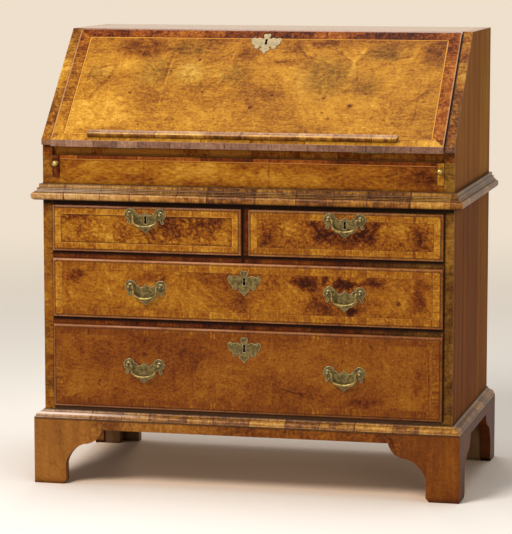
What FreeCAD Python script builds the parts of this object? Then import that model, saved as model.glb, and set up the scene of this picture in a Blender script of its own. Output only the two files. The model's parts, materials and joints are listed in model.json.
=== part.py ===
import FreeCAD, Part
import math
import os

V = FreeCAD.Vector

# Writing bureau: millimetres, X to the right, Y from the case front to the back, Z up.
# The model is built with the case front at Y 0 and moved at the end,
# so that the origin is the bottom centre of the whole piece.

# Case
case_width = 915.0
case_depth = 505.0
case_height = 1000.0
side_thickness = 22.0
top_thickness = 18.0
top_depth = 271.0
back_thickness = 12.0
back_planks = 6
plank_gap = 0.6
facing_thickness = 4.0

# Heights from the floor upwards
foot_height = 146.0
bottom_lift = 8.5
bottom_thickness = 22.0
lower_opening = 177.5
rail_thickness = 23.0
upper_opening = 123.5
short_opening = 95.5
top_rail_thickness = 24.0
well_floor_thickness = 8.0
well_depth = 80.5
bed_thickness = 20.0

# Rails, runners and the divider between the short drawers
rail_depth = 60.0
runner_width = 18.0
lining_thickness = 3.0
divider_width = 22.0
centre_guide_height = 30.0
dust_board_thickness = 6.0

# Slope and fall
nose_projection = 9.0
side_nose_lift = 2.5
side_nose_height = 11.0
slope_facing_thickness = 6.0
fall_top_margin = 8.0
fall_side_gap = 0.5
fall_edge_gap = 0.4
fall_rebate = 3.5
fall_rebate_gap = 0.3
bed_edge_gap = 0.8
bed_notch_gap = 1.2

# Waist and base mouldings
waist_lift = 13.5
waist_height = 35.5
waist_projection = 22.0
base_height = 19.0
base_projection = 20.0

# Bracket feet
bracket_thickness = 22.0
bracket_width = 156.5
rear_bracket_width = 140.0
back_bracket_width = 97.0
back_bracket_top_width = 150.0
apron_height = 21.0
block_width = 38.0
block_lift = 2.0

# Drawers
lip_overlap = 3.0
lip_thickness = 7.0
lip_edge = 1.5
thumb_radius = 4.5
thumb_flat = 0.8
front_thickness = 16.0
drawer_side_gap = 1.0
drawer_top_gap = 1.5
drawer_seat_gap = 0.3
drawer_back_gap = 37.0
drawer_side_thickness = 10.0
drawer_back_thickness = 8.0
drawer_back_drop = 12.0
drawer_bottom_thickness = 7.0
drawer_bottom_lift = 6.0

# Brass plates and handles
plate_thickness = 1.2
plate_bevel = 0.5
handle_offset = 222.0
lower_left_shift = 4.5
plate_width = 92.0
plate_height = 51.0
plate_key_drop = 12.0
short_post_drop = 16.7
upper_post_drop = 57.0
lower_post_drop = 84.5
post_spacing = 71.0
post_collar_radius = 5.2
post_collar_height = 1.6
post_neck_radius = 2.6
post_neck_length = 3.2
post_head_radius = 5.0
post_shank_radius = 2.5
post_shank_gap = 0.2
nut_radius = 6.5
nut_thickness = 4.0
nut_gap = 0.1
bail_pin_radius = 1.5
bail_pin_clearance = 0.06
bail_radius = 2.1
bail_collar_radius = 3.1
bail_collar_length = 2.6
bail_side_gap = 0.4
bail_drop = 25.5
bail_belly_width = 52.0

# Escutcheons and locks
escutcheon_width = 72.0
escutcheon_height = 55.0
escutcheon_drop = 19.5
escutcheon_lowering = 27.8
keyhole_height = 17.0
keyhole_radius = 3.2
keyhole_slot_width = 3.6
lock_width = 56.0
lock_height = 44.0
lock_depth = 8.0
bolt_width = 22.0
bolt_thickness = 5.0
bolt_length = 26.0
bolt_travel = 8.0
bolt_gap = 0.3
bolt_sink = 0.5
mortise_gap = 1.0
fall_escutcheon_setback = 22.5
fall_escutcheon_width = 67.0
fall_escutcheon_height = 60.0
fall_lock_width = 66.0
fall_lock_height = 50.0

# Book rest on the fall
book_rest_length = 686.0
book_rest_offset = -9.0
book_rest_lift = 10.0
book_rest_width = 18.0
book_rest_height = 11.5

# Fall hinges
hinge_offset = 270.0
hinge_length = 66.0
hinge_knuckles = 3
screws_per_leaf = 3
hinge_leaf_width = 28.0
hinge_leaf_thickness = 2.0
hinge_barrel_radius = 3.6
hinge_pin_radius = 1.5
hinge_pin_clearance = 0.05
hinge_knuckle_gap = 0.3
hinge_wood_gap = 0.4
hinge_screw_radius = 2.8
hinge_screw_fit = 0.1
hinge_screw_slot = 0.7

# Lopers that carry the open fall
loper_width = 16.4
loper_height = 49.3
loper_back_gap = 93.0
loper_gap = 0.3
loper_kept = 115.0
loper_groove_height = 8.0
loper_groove_depth = 5.0
loper_dowel_setback = 40.0
loper_dowel_gap = 0.4
partition_thickness = 16.0
frieze_thickness = 16.0
knob_radius = 6.2
knob_collar_radius = 5.0
knob_collar_height = 1.6
knob_neck_radius = 2.4
knob_neck_length = 3.6
knob_shank_length = 14.0
knob_drop = 18.0
knob_fit = 0.1

# Well and its slide in the writing bed
well_half_width = 178.0
well_front = 64.0
well_length = 172.0
slide_ledge = 12.0
slide_thickness = 8.0
slide_gap = 0.3
slide_lap = 5.0
slide_grip_radius = 14.0
slide_grip_depth = 3.0

# Pigeonholes and small drawers behind the fall
gallery_setback = 28.0
gallery_side_gap = 2.5
gallery_board = 7.0
gallery_upright = 8.0
gallery_thin = 5.0
niche_half_width = 105.0
tier_share = 0.277
pigeonholes_per_side = 4
small_drawers_per_side = 2
small_drawer_gap = 0.8
small_drawer_seat = 0.3
small_drawer_back_gap = 17.0
small_front_thickness = 10.0
small_side_thickness = 5.0
small_bottom_thickness = 4.0
small_back_share = 0.14
small_knob_share = 0.108
small_knob_neck_radius = 3.0
small_knob_neck_length = 4.0
valance_thickness = 6.0
valance_setback = 4.0
valance_share = 0.174
niche_valance_share = 0.185

# How far a cut reaches past the piece that it cuts, and when two points count as one
overrun = 5.0
same_point = 0.001

# Outlines, as shares of the width and height that each name gives.
# A step with two numbers is a straight line to that point,
# one with four is a round stretch through the first point to the second.

# Across the projection, and up from the lower edge
waist_shares = (
    (0.36, 0), (0.36, 0.05), (0.86, 0.07, 1.0, 0.21), (1.0, 0.30),
    (0.9, 0.45, 0.66, 0.48), (0.66, 0.51), (0.73, 0.51), (0.73, 0.56),
    (0.56, 0.60, 0.45, 0.70), (0.55, 0.70), (0.55, 0.74), (0.40, 0.78),
    (0.33, 0.78), (0.33, 0.99), (0, 1.0),
)
base_shares = (
    (0.94, 0), (1.0, 0.05), (1.0, 0.16), (0.9, 0.22),
    (0.86, 0.24), (0.80, 0.50, 0.50, 0.66), (0.44, 0.72), (0.30, 0.76, 0.20, 0.92), (0.12, 1.0), (0, 1.0),
)
# Across the bracket from its corner, and up from the floor
bracket_shares = (
    (0.42, 0), (0.47, 0.06), (0.465, 0.32), (0.56, 0.51, 0.735, 0.63),
    (0.90, 0.69, 1.0, 0.855), (1.0, 1.0), (0, 1.0),
)
# Half of the bat-wing plate, from its middle, and up from the line of the posts
plate_shares = (
    (0.06, 0.055, 0.14, 0.01), (0.20, -0.03, 0.27, -0.03), (0.33, -0.01, 0.365, 0.06),
    (0.43, 0.07, 0.49, 0.14), (0.77, 0.27, 0.985, 0.10), (1.02, -0.02, 0.97, -0.13),
    (0.90, -0.20, 0.85, -0.26), (0.91, -0.31, 0.905, -0.37), (0.85, -0.41, 0.77, -0.35),
    (0.73, -0.26, 0.69, -0.24), (0.63, -0.25, 0.60, -0.32), (0.45, -0.53, 0.23, -0.60),
    (0.20, -0.65), (0.15, -0.695, 0.08, -0.71), (0.05, -0.765, 0, -0.785),
)
# Half of the escutcheon, from its middle, and up from the line of the wings
escutcheon_shares = (
    (0.14, 0.225, 0.235, 0.13), (0.20, 0.05, 0.17, 0.02), (0.24, -0.02, 0.34, -0.01),
    (0.45, 0.03, 0.58, 0.0), (0.72, -0.01, 0.84, 0.035), (1.02, -0.04, 0.97, -0.20),
    (0.87, -0.33, 0.68, -0.37), (0.74, -0.44, 0.66, -0.51), (0.52, -0.54, 0.43, -0.47),
    (0.36, -0.42, 0.35, -0.52), (0.30, -0.60, 0.20, -0.64), (0.13, -0.69, 0, -0.79),
)
# Up the slope, and out from the face of the fall
book_rest_shares = (
    (0, 0), (0, 0.72), (0.05, 0.97, 0.20, 1.0), (0.32, 0.93), (0.36, 0.80),
    (0.52, 0.42, 0.86, 0.36), (1.0, 0.33), (1.0, 0),
)
# Across a pigeonhole from its left side, and down from its top
valance_shares = (
    (0, -0.95), (0.13, -1.0, 0.22, -0.72), (0.26, -0.38, 0.38, -0.36), (0.45, -0.30, 0.5, -0.20),
    (0.55, -0.30, 0.62, -0.36), (0.74, -0.38, 0.78, -0.72), (0.87, -1.0, 1.0, -0.95), (1.0, 0),
)
# Half of the hanging bail, across from the middle and down from its pins
bail_share_neck = 0.16
bail_share_hip = 0.52

# Heights and places that follow from the sizes above
half_width = case_width / 2
inner_half = half_width - side_thickness
opening_half = inner_half - lining_thickness
back_inner = case_depth - back_thickness
top_front = case_depth - top_depth
top_underside = case_height - top_thickness
bottom_underside = foot_height + bottom_lift
lower_floor = bottom_underside + bottom_thickness
lower_top = lower_floor + lower_opening
upper_floor = lower_top + rail_thickness
upper_top = upper_floor + upper_opening
short_floor = upper_top + rail_thickness
short_top = short_floor + short_opening
top_rail_top = short_top + top_rail_thickness
well_floor_top = top_rail_top + well_floor_thickness
bed_underside = well_floor_top + well_depth
bed_top = bed_underside + bed_thickness
nose_bottom = bed_top + side_nose_lift
nose_top = nose_bottom + side_nose_height
waist_bottom = short_top + waist_lift
fall_thickness = bed_thickness

# The slope leans back by this angle; its own axes start at the hinge line,
# which runs along the front top edge of the writing bed.
slope_angle = math.atan2(top_front + nose_projection, case_height - nose_top)
slope_sin = math.sin(slope_angle)
slope_cos = math.cos(slope_angle)
open_angle = math.degrees(slope_angle) + 90
side_slope_out = nose_projection * slope_cos + (nose_top - bed_top) * slope_sin
slope_ledge_out = side_slope_out - slope_facing_thickness
slope_length = top_front * slope_sin + (case_height - bed_top) * slope_cos
fall_length = slope_length - fall_top_margin
fall_half = inner_half - fall_side_gap

nodes = {}


def add(name, shapes):
    """Keep the solids of one named piece, each checked to be sound."""
    solids = [solid for shape in shapes for solid in shape.Solids]
    for solid in solids:
        if not solid.isValid() or solid.Volume <= 0:
            raise ValueError(name + " has a broken solid")
    nodes[name] = solids


def box(x0, x1, y0, y1, z0, z1):
    return Part.makeBox(x1 - x0, y1 - y0, z1 - z0, V(x0, y0, z0))


def rod(radius, length, start, direction):
    return Part.makeCylinder(radius, length, start, direction)


def outline(start, steps, place):
    """A closed wire through the steps; place turns two numbers into a point."""
    first = place(*start)
    here = first
    edges = []
    for step in steps:
        there = place(step[-2], step[-1])
        if len(step) == 4:
            edges.append(Part.Arc(here, place(step[0], step[1]), there).toShape())
        else:
            edges.append(Part.makeLine(here, there))
        here = there
    if here.distanceToPoint(first) > same_point:
        edges.append(Part.makeLine(here, first))
    return Part.Wire(edges)


def prism(wire, travel):
    return Part.Face(wire).extrude(travel)


def section_along_x(points, x0, x1):
    """A solid with a section of Y, Z points, from x0 to x1."""
    corners = [V(x0, y, z) for y, z in points]
    return prism(Part.makePolygon(corners + corners[:1]), V(x1 - x0, 0, 0))


def plan_prism(points, z0, z1):
    """A solid with a plan of X, Y points, from z0 to z1."""
    corners = [V(x, y, z0) for x, y in points]
    return prism(Part.makePolygon(corners + corners[:1]), V(0, 0, z1 - z0))


def mirrored(shape):
    return shape.mirror(V(0, 0, 0), V(1, 0, 0))


def both(shapes):
    return shapes + [mirrored(shape) for shape in shapes]


def slope_point(up, out):
    """The Y and Z of a point that lies up the slope and out from the fall's inner face."""
    return up * slope_sin - out * slope_cos, bed_top + up * slope_cos + out * slope_sin


def on_slope(shape):
    """Lean back a shape that was made upright, with its inner face at Y 0 and the hinge line at Z 0."""
    leaned = shape.copy()
    leaned.rotate(V(0, 0, 0), V(1, 0, 0), -math.degrees(slope_angle))
    leaned.translate(V(0, 0, bed_top))
    return leaned


def halves(start, shares):
    """The steps of a whole outline, from its half that starts and ends on the middle line."""
    points = [start] + [step[-2:] for step in shares]
    back = []
    for number in range(len(shares) - 1, -1, -1):
        step = shares[number]
        middle = (-step[0], step[1]) if len(step) == 4 else ()
        back.append(middle + (-points[number][0], points[number][1]))
    return list(shares) + back


def bevelled_plate(wire, inner, thickness, bevel):
    """A thin plate in the XZ plane with a filed bevel round its front."""
    base = prism(wire, V(0, -(thickness - bevel), 0))
    inner.translate(V(0, -thickness, 0))
    lower = wire.copy()
    lower.translate(V(0, -(thickness - bevel), 0))
    rim = Part.makeLoft([lower, inner], True, True)
    return base.fuse(rim).removeSplitter()


def plate_solid(start, shares, width, height):
    """A brass plate outline in the XZ plane, its back at Y 0, with a bevelled front."""
    middle = (start[1] + shares[-1][-1]) / 2

    def place(inset):
        def point(a, b):
            x = a * (width / 2 - inset)
            z = middle * height + (b - middle) * (height - 2 * inset)
            return V(x, 0, z)
        return point
    steps = halves(start, shares)
    wire = outline(start, steps, place(0))
    inner = outline(start, steps, place(plate_bevel))
    return bevelled_plate(wire, inner, plate_thickness, plate_bevel)


def keyhole(x, z, y0, y1):
    """A keyhole cutter along Y, with its round top and its flared slot below."""
    eye = z + keyhole_height / 2 - keyhole_radius
    round_part = rod(keyhole_radius, y1 - y0, V(x, y0, eye), V(0, 1, 0))
    foot = z - keyhole_height / 2
    flare = keyhole_radius
    corners = [
        V(x - keyhole_slot_width / 2, y0, eye), V(x + keyhole_slot_width / 2, y0, eye),
        V(x + flare, y0, foot), V(x - flare, y0, foot),
    ]
    slot = prism(Part.makePolygon(corners + corners[:1]), V(0, y1 - y0, 0))
    return round_part.fuse(slot)


def revolve_y(points, x, z):
    """A turned solid about a line along Y, from radius and Y points."""
    corners = [V(x + radius, y, z) for radius, y in points]
    face = Part.Face(Part.makePolygon(corners + corners[:1]))
    return face.revolve(V(x, 0, z), V(0, 1, 0), 360)


# Case sides: plain boards whose front edge follows the slope
def ledge_height(y):
    return bed_top + (slope_ledge_out + y * slope_cos) / slope_sin


def ledge_run(z):
    return ((z - bed_top) * slope_sin - slope_ledge_out) / slope_cos


side_section = [
    (facing_thickness, foot_height),
    (facing_thickness, ledge_height(facing_thickness)),
    (ledge_run(case_height), case_height),
    (case_depth, case_height),
    (case_depth, foot_height),
]
side_right = section_along_x(side_section, inner_half, half_width)
add("side_right", [side_right])
add("side_left", [mirrored(side_right)])

# Veneered strips on the front edges of the sides, with the small nose under the slope
upright_facing = box(inner_half, half_width, 0, facing_thickness, foot_height, nose_bottom)
slope_facing = section_along_x([
    (-nose_projection, nose_bottom),
    (-nose_projection, nose_top),
    (top_front, case_height),
    (ledge_run(case_height), case_height),
    (facing_thickness, ledge_height(facing_thickness)),
    (facing_thickness, nose_bottom),
], inner_half, half_width)
add("edge_facings", both([upright_facing, slope_facing]))

# Top board, with its front edge cut to the slope and rebated for the fall
rebate_out = slope_ledge_out
lower_seat = fall_length + fall_edge_gap - fall_rebate
underside_out = (top_underside - bed_top - lower_seat * slope_cos) / slope_sin
top_board = section_along_x([
    (top_front, case_height),
    slope_point(fall_length + fall_edge_gap, side_slope_out),
    slope_point(fall_length + fall_edge_gap, rebate_out),
    slope_point(lower_seat, rebate_out),
    slope_point(lower_seat, underside_out),
    (case_depth, top_underside),
    (case_depth, case_height),
], -inner_half, inner_half)

# Back, of upright planks
plank_width = (2 * inner_half - (back_planks - 1) * plank_gap) / back_planks
planks = []
for number in range(back_planks):
    left = -inner_half + number * (plank_width + plank_gap)
    planks.append(box(left, left + plank_width, back_inner, case_depth, bottom_underside, top_underside))
add("back_boards", planks)

# Bottom board, rails and the divider between the short drawers
add("bottom_board", [box(-inner_half, inner_half, 0, back_inner, bottom_underside, lower_floor)])


def rail(z0, z1):
    return box(-inner_half, inner_half, 0, rail_depth, z0, z1)


# Where each drawer's lock stands behind its front
lock_front = front_thickness - lock_depth
bolt_front = lock_front + (lock_depth - bolt_thickness) / 2


def bolt_mortise(x, z):
    """The hole in a rail's underside that takes a drawer's bolt."""
    reach = bolt_width / 2 + mortise_gap
    back = bolt_front + bolt_thickness + mortise_gap
    return box(x - reach, x + reach, bolt_front - mortise_gap, back, z - overrun, z + bolt_travel + mortise_gap)


lower_rail = rail(lower_top, upper_floor).cut(bolt_mortise(0, lower_top))
upper_rail = rail(upper_top, short_floor).cut(bolt_mortise(0, upper_top))
top_rail = rail(short_top, top_rail_top)
for side in (-1, 1):
    top_rail = top_rail.cut(bolt_mortise(side * handle_offset, short_top))
divider = box(-divider_width / 2, divider_width / 2, 0, rail_depth, short_floor, short_top)
add("drawer_rails", [lower_rail, upper_rail, top_rail, divider])

# Runners, kickers, linings and dust boards behind the rails
inner_frame = []
for z0, z1 in ((lower_top, upper_floor), (upper_top, short_floor), (short_top, top_rail_top)):
    inner_frame += both([box(inner_half - runner_width, inner_half, rail_depth, back_inner, z0, z1)])
for z0, z1 in ((lower_top, upper_floor), (upper_top, short_floor)):
    board = (z0 + z1 - dust_board_thickness) / 2
    reach = inner_half - runner_width
    inner_frame.append(box(-reach, reach, rail_depth, back_inner, board, board + dust_board_thickness))
board = (upper_top + short_floor + dust_board_thickness) / 2
inner_frame.append(box(-divider_width / 2, divider_width / 2, rail_depth, back_inner, board, short_floor))
guide_top = short_floor + centre_guide_height
inner_frame.append(box(-divider_width / 2, divider_width / 2, rail_depth, back_inner, short_floor, guide_top))
for z0, z1 in ((lower_floor, lower_top), (upper_floor, upper_top), (short_floor, short_top)):
    inner_frame += both([box(opening_half, inner_half, 0, back_inner, z0, z1)])
add("runners_and_dust_boards", inner_frame)

# Frieze below the fall, notched at its ends for the lopers
loper_outer = inner_half - loper_gap
loper_inner = loper_outer - loper_width
pocket_inner = loper_inner - loper_gap
loper_top = bed_underside - loper_gap
loper_bottom = loper_top - loper_height
pocket_bottom = loper_bottom - loper_gap
frieze_corners = [
    V(-inner_half, 0, top_rail_top), V(inner_half, 0, top_rail_top), V(inner_half, 0, pocket_bottom),
    V(pocket_inner, 0, pocket_bottom), V(pocket_inner, 0, bed_underside), V(-pocket_inner, 0, bed_underside),
    V(-pocket_inner, 0, pocket_bottom), V(-inner_half, 0, pocket_bottom),
]
frieze = prism(Part.makePolygon(frieze_corners + frieze_corners[:1]), V(0, frieze_thickness, 0))
add("frieze_front", [frieze])
add("well_floor", [box(-inner_half, inner_half, frieze_thickness, back_inner, top_rail_top, well_floor_top)])

# Guides for the lopers, which are also the end walls of the well
groove_middle = (loper_bottom + loper_top) / 2
dowel_radius = loper_groove_height / 2 - loper_dowel_gap
partition_inner = pocket_inner - partition_thickness
loper_length = back_inner - loper_back_gap
loper_travel = loper_length - loper_kept
partition = box(partition_inner, pocket_inner, frieze_thickness, back_inner, well_floor_top, bed_underside)
dowel_start = V(partition_inner, loper_dowel_setback, groove_middle)
dowel_length = partition_thickness + loper_gap + loper_groove_depth - loper_dowel_gap
dowel = rod(dowel_radius, dowel_length, dowel_start, V(1, 0, 0))
guides = [
    partition.cut(dowel),
    dowel,
    box(pocket_inner, inner_half, frieze_thickness, back_inner, well_floor_top, pocket_bottom),
]
add("loper_guides", both(guides))

# Lopers: bars that pull out to carry the open fall, each with a brass knob
loper = box(loper_inner, loper_outer, 0, loper_length, loper_bottom, loper_top)
groove_front = loper_dowel_setback - loper_groove_height / 2
groove_back = loper_dowel_setback + loper_groove_height / 2 + loper_travel
groove = box(
    loper_inner - overrun, loper_inner + loper_groove_depth, groove_front, groove_back,
    groove_middle - loper_groove_height / 2, groove_middle + loper_groove_height / 2,
)
knob_x = (loper_inner + loper_outer) / 2
knob_z = loper_top - knob_drop
knob_reach = knob_collar_height + knob_neck_length
knob_turn = revolve_y([
    (0, knob_shank_length), (knob_neck_radius, knob_shank_length), (knob_neck_radius, 0),
    (knob_collar_radius, 0), (knob_collar_radius, -knob_collar_height),
    (knob_neck_radius, -knob_collar_height), (knob_neck_radius, -knob_reach - knob_radius / 2),
    (0, -knob_reach),
], knob_x, knob_z)
knob_ball = Part.makeSphere(knob_radius, V(knob_x, -knob_reach - knob_radius, knob_z))
loper_knob = knob_turn.fuse(knob_ball)
knob_hole = rod(knob_neck_radius + knob_fit, knob_shank_length, V(knob_x, 0, knob_z), V(0, 1, 0))
loper = loper.cut(groove).cut(knob_hole)
add("loper_right", [loper])
add("loper_left", [mirrored(loper)])
add("loper_knob_right", [loper_knob])
add("loper_knob_left", [mirrored(loper_knob)])

# Writing bed: boards that frame the well, with a sunk track for its slide
well_back = well_front + well_length
slide_half = well_half_width + slide_ledge - slide_gap
track_top = bed_top - slide_gap - slide_thickness - slide_gap
nose_reach = fall_thickness * slope_cos
notch_back = nose_reach * slope_sin + bed_notch_gap
notch_down = (notch_back - bed_edge_gap) * slope_cos / slope_sin
bed_front = section_along_x([
    (bed_edge_gap, bed_top),
    (notch_back, bed_top - notch_down),
    (notch_back, bed_underside),
    (well_front, bed_underside),
    (well_front, bed_top),
], -inner_half, inner_half)
bed_side = box(well_half_width + slide_ledge, inner_half, well_front, back_inner, bed_underside, bed_top)
bed_ledge = box(
    well_half_width, well_half_width + slide_ledge, well_front, back_inner, bed_underside, track_top,
)
bed_back = box(-well_half_width, well_half_width, well_back, back_inner, bed_underside, track_top)

# Slide that covers the well and runs back under the pigeonholes
slide = box(
    -slide_half, slide_half, well_front + slide_gap, well_back + slide_lap,
    track_top + slide_gap, track_top + slide_gap + slide_thickness,
)
grip_y = well_front + slide_gap + 2 * slide_grip_radius
grip_floor = V(0, grip_y, bed_top - slide_gap - slide_grip_depth)
grip = rod(slide_grip_radius, slide_grip_depth + overrun, grip_floor, V(0, 0, 1))
add("well_slide", [slide.cut(grip)])

# Fall: one board, rebated along its top, with a cross-grained nose under its lower edge.
# It is made upright, inner face at Y 0 and hinge line at Z 0, then leaned back.
fall_board = section_along_x([
    (0, 0),
    (-fall_thickness, 0),
    (-fall_thickness, fall_length),
    (-rebate_out - fall_rebate_gap, fall_length),
    (-rebate_out - fall_rebate_gap, fall_length - fall_rebate),
    (0, fall_length - fall_rebate),
], -fall_half, fall_half)
nose_down = fall_thickness * slope_cos * slope_sin
nose_out = fall_thickness * slope_cos * slope_cos
nosing = section_along_x([
    (0, 0),
    (-fall_thickness, 0),
    (-nose_out, -nose_down),
], -fall_half, fall_half)

# Brass hinges let into the bed and the fall, with their barrels on the hinge line
knuckle = hinge_length / hinge_knuckles
clear_radius = hinge_barrel_radius + hinge_wood_gap
bed_hinges = []
fall_hinges = []
barrel_spaces = []
bed_recesses = []
fall_recesses = []
for side in (-1, 1):
    left = side * hinge_offset - hinge_length / 2
    right = left + hinge_length
    cleared_left = left - hinge_wood_gap
    cleared_right = right + hinge_wood_gap
    middle_left = left + knuckle
    middle_right = right - knuckle
    barrel_spaces.append(rod(clear_radius, cleared_right - cleared_left, V(cleared_left, 0, 0), V(1, 0, 0)))
    bed_recesses.append(box(left, right, 0, hinge_leaf_width, -hinge_leaf_thickness, overrun))
    fall_recesses.append(box(left, right, -hinge_leaf_thickness, overrun, 0, hinge_leaf_width))
    outer = [(left, middle_left - hinge_knuckle_gap), (middle_right + hinge_knuckle_gap, right)]
    leaf = box(left, right, clear_radius, hinge_leaf_width, -hinge_leaf_thickness, 0)
    for x0, x1 in outer:
        leaf = leaf.fuse(rod(hinge_barrel_radius, x1 - x0, V(x0, 0, 0), V(1, 0, 0)))
        leaf = leaf.fuse(box(x0, x1, 0, clear_radius, -hinge_leaf_thickness, 0))
    leaf = leaf.fuse(rod(hinge_pin_radius, hinge_length, V(left, 0, 0), V(1, 0, 0)))
    swing = box(left, right, -hinge_leaf_thickness, 0, clear_radius, hinge_leaf_width)
    swing = swing.fuse(rod(hinge_barrel_radius, middle_right - middle_left, V(middle_left, 0, 0), V(1, 0, 0)))
    swing = swing.fuse(box(middle_left, middle_right, -hinge_leaf_thickness, 0, 0, clear_radius))
    swing = swing.cut(rod(hinge_pin_radius + hinge_pin_clearance, hinge_length, V(left, 0, 0), V(1, 0, 0)))
    bed_screws = []
    fall_screws = []
    for number in range(screws_per_leaf):
        x = left + (number + 1 / 2) * hinge_length / screws_per_leaf
        across = (clear_radius + hinge_leaf_width) / 2
        for screws, base, way, slot in (
            (bed_screws, V(x, across, -hinge_leaf_thickness), V(0, 0, 1), V(0, 0, -hinge_screw_slot)),
            (fall_screws, V(x, -hinge_leaf_thickness, across), V(0, 1, 0), V(0, -hinge_screw_slot, 0)),
        ):
            head = rod(hinge_screw_radius, hinge_leaf_thickness, base, way)
            half_slot = hinge_screw_slot / 2
            face = base + way * hinge_leaf_thickness
            low = -hinge_screw_radius
            high = hinge_screw_radius
            if way.z > 0:
                cut = box(x - half_slot, x + half_slot, face.y + low, face.y + high, slot.z, overrun)
            else:
                cut = box(x - half_slot, x + half_slot, slot.y, overrun, face.z + low, face.z + high)
            screws.append(head.cut(cut))
            hole = rod(hinge_screw_radius + hinge_screw_fit, hinge_leaf_thickness, base, way)
            if way.z > 0:
                leaf = leaf.cut(hole)
            else:
                swing = swing.cut(hole)
    bed_hinges += [leaf] + bed_screws
    fall_hinges += [swing] + fall_screws

for space in barrel_spaces:
    fall_board = fall_board.cut(space)
    nosing = nosing.cut(space)
for recess in fall_recesses:
    fall_board = fall_board.cut(recess)
for space in barrel_spaces + bed_recesses:
    lifted = space.copy()
    lifted.translate(V(0, 0, bed_top))
    bed_front = bed_front.cut(lifted)
add("writing_bed", [bed_front] + both([bed_side, bed_ledge]) + [bed_back])
lifted_hinges = []
for shape in bed_hinges:
    lifted = shape.copy()
    lifted.translate(V(0, 0, bed_top))
    lifted_hinges.append(lifted)
add("fall_hinges_bed_leaves", lifted_hinges)
add("fall_hinges_fall_leaves", [on_slope(shape) for shape in fall_hinges])

# Lock of the fall, let into the inner face, and its bolt that enters the top board
fall_lock_top = fall_length - fall_rebate
fall_escutcheon_rise = fall_length - fall_escutcheon_setback
fall_key_z = fall_escutcheon_rise - escutcheon_drop + keyhole_height / 2
fall_bolt_y = -(lock_depth + bolt_thickness) / 2
fall_lock_space = box(
    -fall_lock_width / 2, fall_lock_width / 2, -lock_depth, 0, fall_lock_top - fall_lock_height, fall_lock_top,
)


def bolt_box(x, y, top, grow, up):
    reach = bolt_width / 2 + grow
    return box(x - reach, x + reach, y - grow, y + bolt_thickness + grow, top - bolt_length - grow, top + up)


fall_bolt_top = fall_lock_top - bolt_sink
fall_lock = fall_lock_space.cut(bolt_box(0, fall_bolt_y, fall_bolt_top, bolt_gap, overrun))
fall_lock = fall_lock.cut(keyhole(0, fall_key_z, -lock_depth - overrun, overrun))
fall_bolt = bolt_box(0, fall_bolt_y, fall_bolt_top, 0, 0)
fall_bolt = fall_bolt.cut(keyhole(0, fall_key_z, -lock_depth - overrun, overrun))
fall_board = fall_board.cut(fall_lock_space)
fall_board = fall_board.cut(keyhole(0, fall_key_z, -fall_thickness - overrun, overrun))
add("fall_board", [on_slope(fall_board)])
add("fall_nosing", [on_slope(nosing)])
add("fall_lock", [on_slope(fall_lock)])
add("fall_lock_bolt", [on_slope(fall_bolt)])
mortise = bolt_box(0, fall_bolt_y, fall_lock_top, mortise_gap, bolt_travel + mortise_gap)
add("top_board", [top_board.cut(on_slope(mortise))])

# Book rest near the foot of the fall
rest_left = book_rest_offset - book_rest_length / 2
rest_wire = outline(
    (0, 0), book_rest_shares[1:],
    lambda up, out: V(
        rest_left, -fall_thickness - out * book_rest_height, book_rest_lift + up * book_rest_width,
    ),
)
add("book_rest", [on_slope(prism(rest_wire, V(book_rest_length, 0, 0)))])

# Escutcheon of the fall
def escutcheon_at(x, y, wings, width, height):
    """An escutcheon on a face at y, with its wings at a given height and its keyhole cut."""
    piece = plate_solid((0, 0.21), escutcheon_shares, width, height)
    piece.translate(V(x, y, wings))
    middle = wings - escutcheon_drop + keyhole_height / 2
    return piece.cut(keyhole(x, middle, y - plate_thickness - overrun, y + overrun))


fall_plate = escutcheon_at(
    0, -fall_thickness, fall_escutcheon_rise, fall_escutcheon_width, fall_escutcheon_height,
)
add("fall_escutcheon", [on_slope(fall_plate)])


# Drawers
def thumbnail_cutters(x0, x1, z0, z1):
    """Cutters that leave a thumbnail moulding round the lip of a drawer front."""
    face = -lip_thickness
    step = -lip_edge - thumb_radius
    bend = math.sqrt(1 / 2)
    bulge = (thumb_radius * (1 - bend), -lip_edge - thumb_radius * bend)
    steps = (
        (0, -lip_edge), bulge + (thumb_radius, step), (thumb_radius + thumb_flat, step),
        (thumb_radius + thumb_flat, face - overrun), (-overrun, face - overrun),
    )
    start = (-overrun, -lip_edge)
    wide = x1 - x0 + 2 * overrun
    tall = z1 - z0 + 2 * overrun
    return [
        prism(outline(start, steps, lambda d, y: V(x0 + d, y, z0 - overrun)), V(0, 0, tall)),
        prism(outline(start, steps, lambda d, y: V(x1 - d, y, z0 - overrun)), V(0, 0, tall)),
        prism(outline(start, steps, lambda d, y: V(x0 - overrun, y, z0 + d)), V(wide, 0, 0)),
        prism(outline(start, steps, lambda d, y: V(x0 - overrun, y, z1 - d)), V(wide, 0, 0)),
    ]


def post_line(z1, drop):
    """The height of the line through a plate's two posts."""
    return z1 + lip_overlap - drop


post_axis_y = -lip_thickness - plate_thickness - post_collar_height - post_neck_length - post_head_radius


def handle_post(x, z):
    """A cast post: collar, neck and drilled ball head, on a shank that ends in a nut behind the front."""
    plate_face = -lip_thickness - plate_thickness
    neck_end = plate_face - post_collar_height - post_neck_length
    shank_end = front_thickness + nut_thickness
    turned = revolve_y([
        (0, shank_end), (post_shank_radius, shank_end), (post_shank_radius, plate_face),
        (post_collar_radius, plate_face), (post_collar_radius, plate_face - post_collar_height),
        (post_neck_radius, plate_face - post_collar_height),
        (post_neck_radius, neck_end - post_head_radius / 2),
        (0, neck_end - post_head_radius / 2),
    ], x, z)
    head = Part.makeSphere(post_head_radius, V(x, post_axis_y, z))
    post = turned.fuse(head)
    bore_start = V(x - 2 * post_head_radius, post_axis_y, z)
    bore = rod(bail_pin_radius + bail_pin_clearance, 4 * post_head_radius, bore_start, V(1, 0, 0))
    return post.cut(bore)


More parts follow.
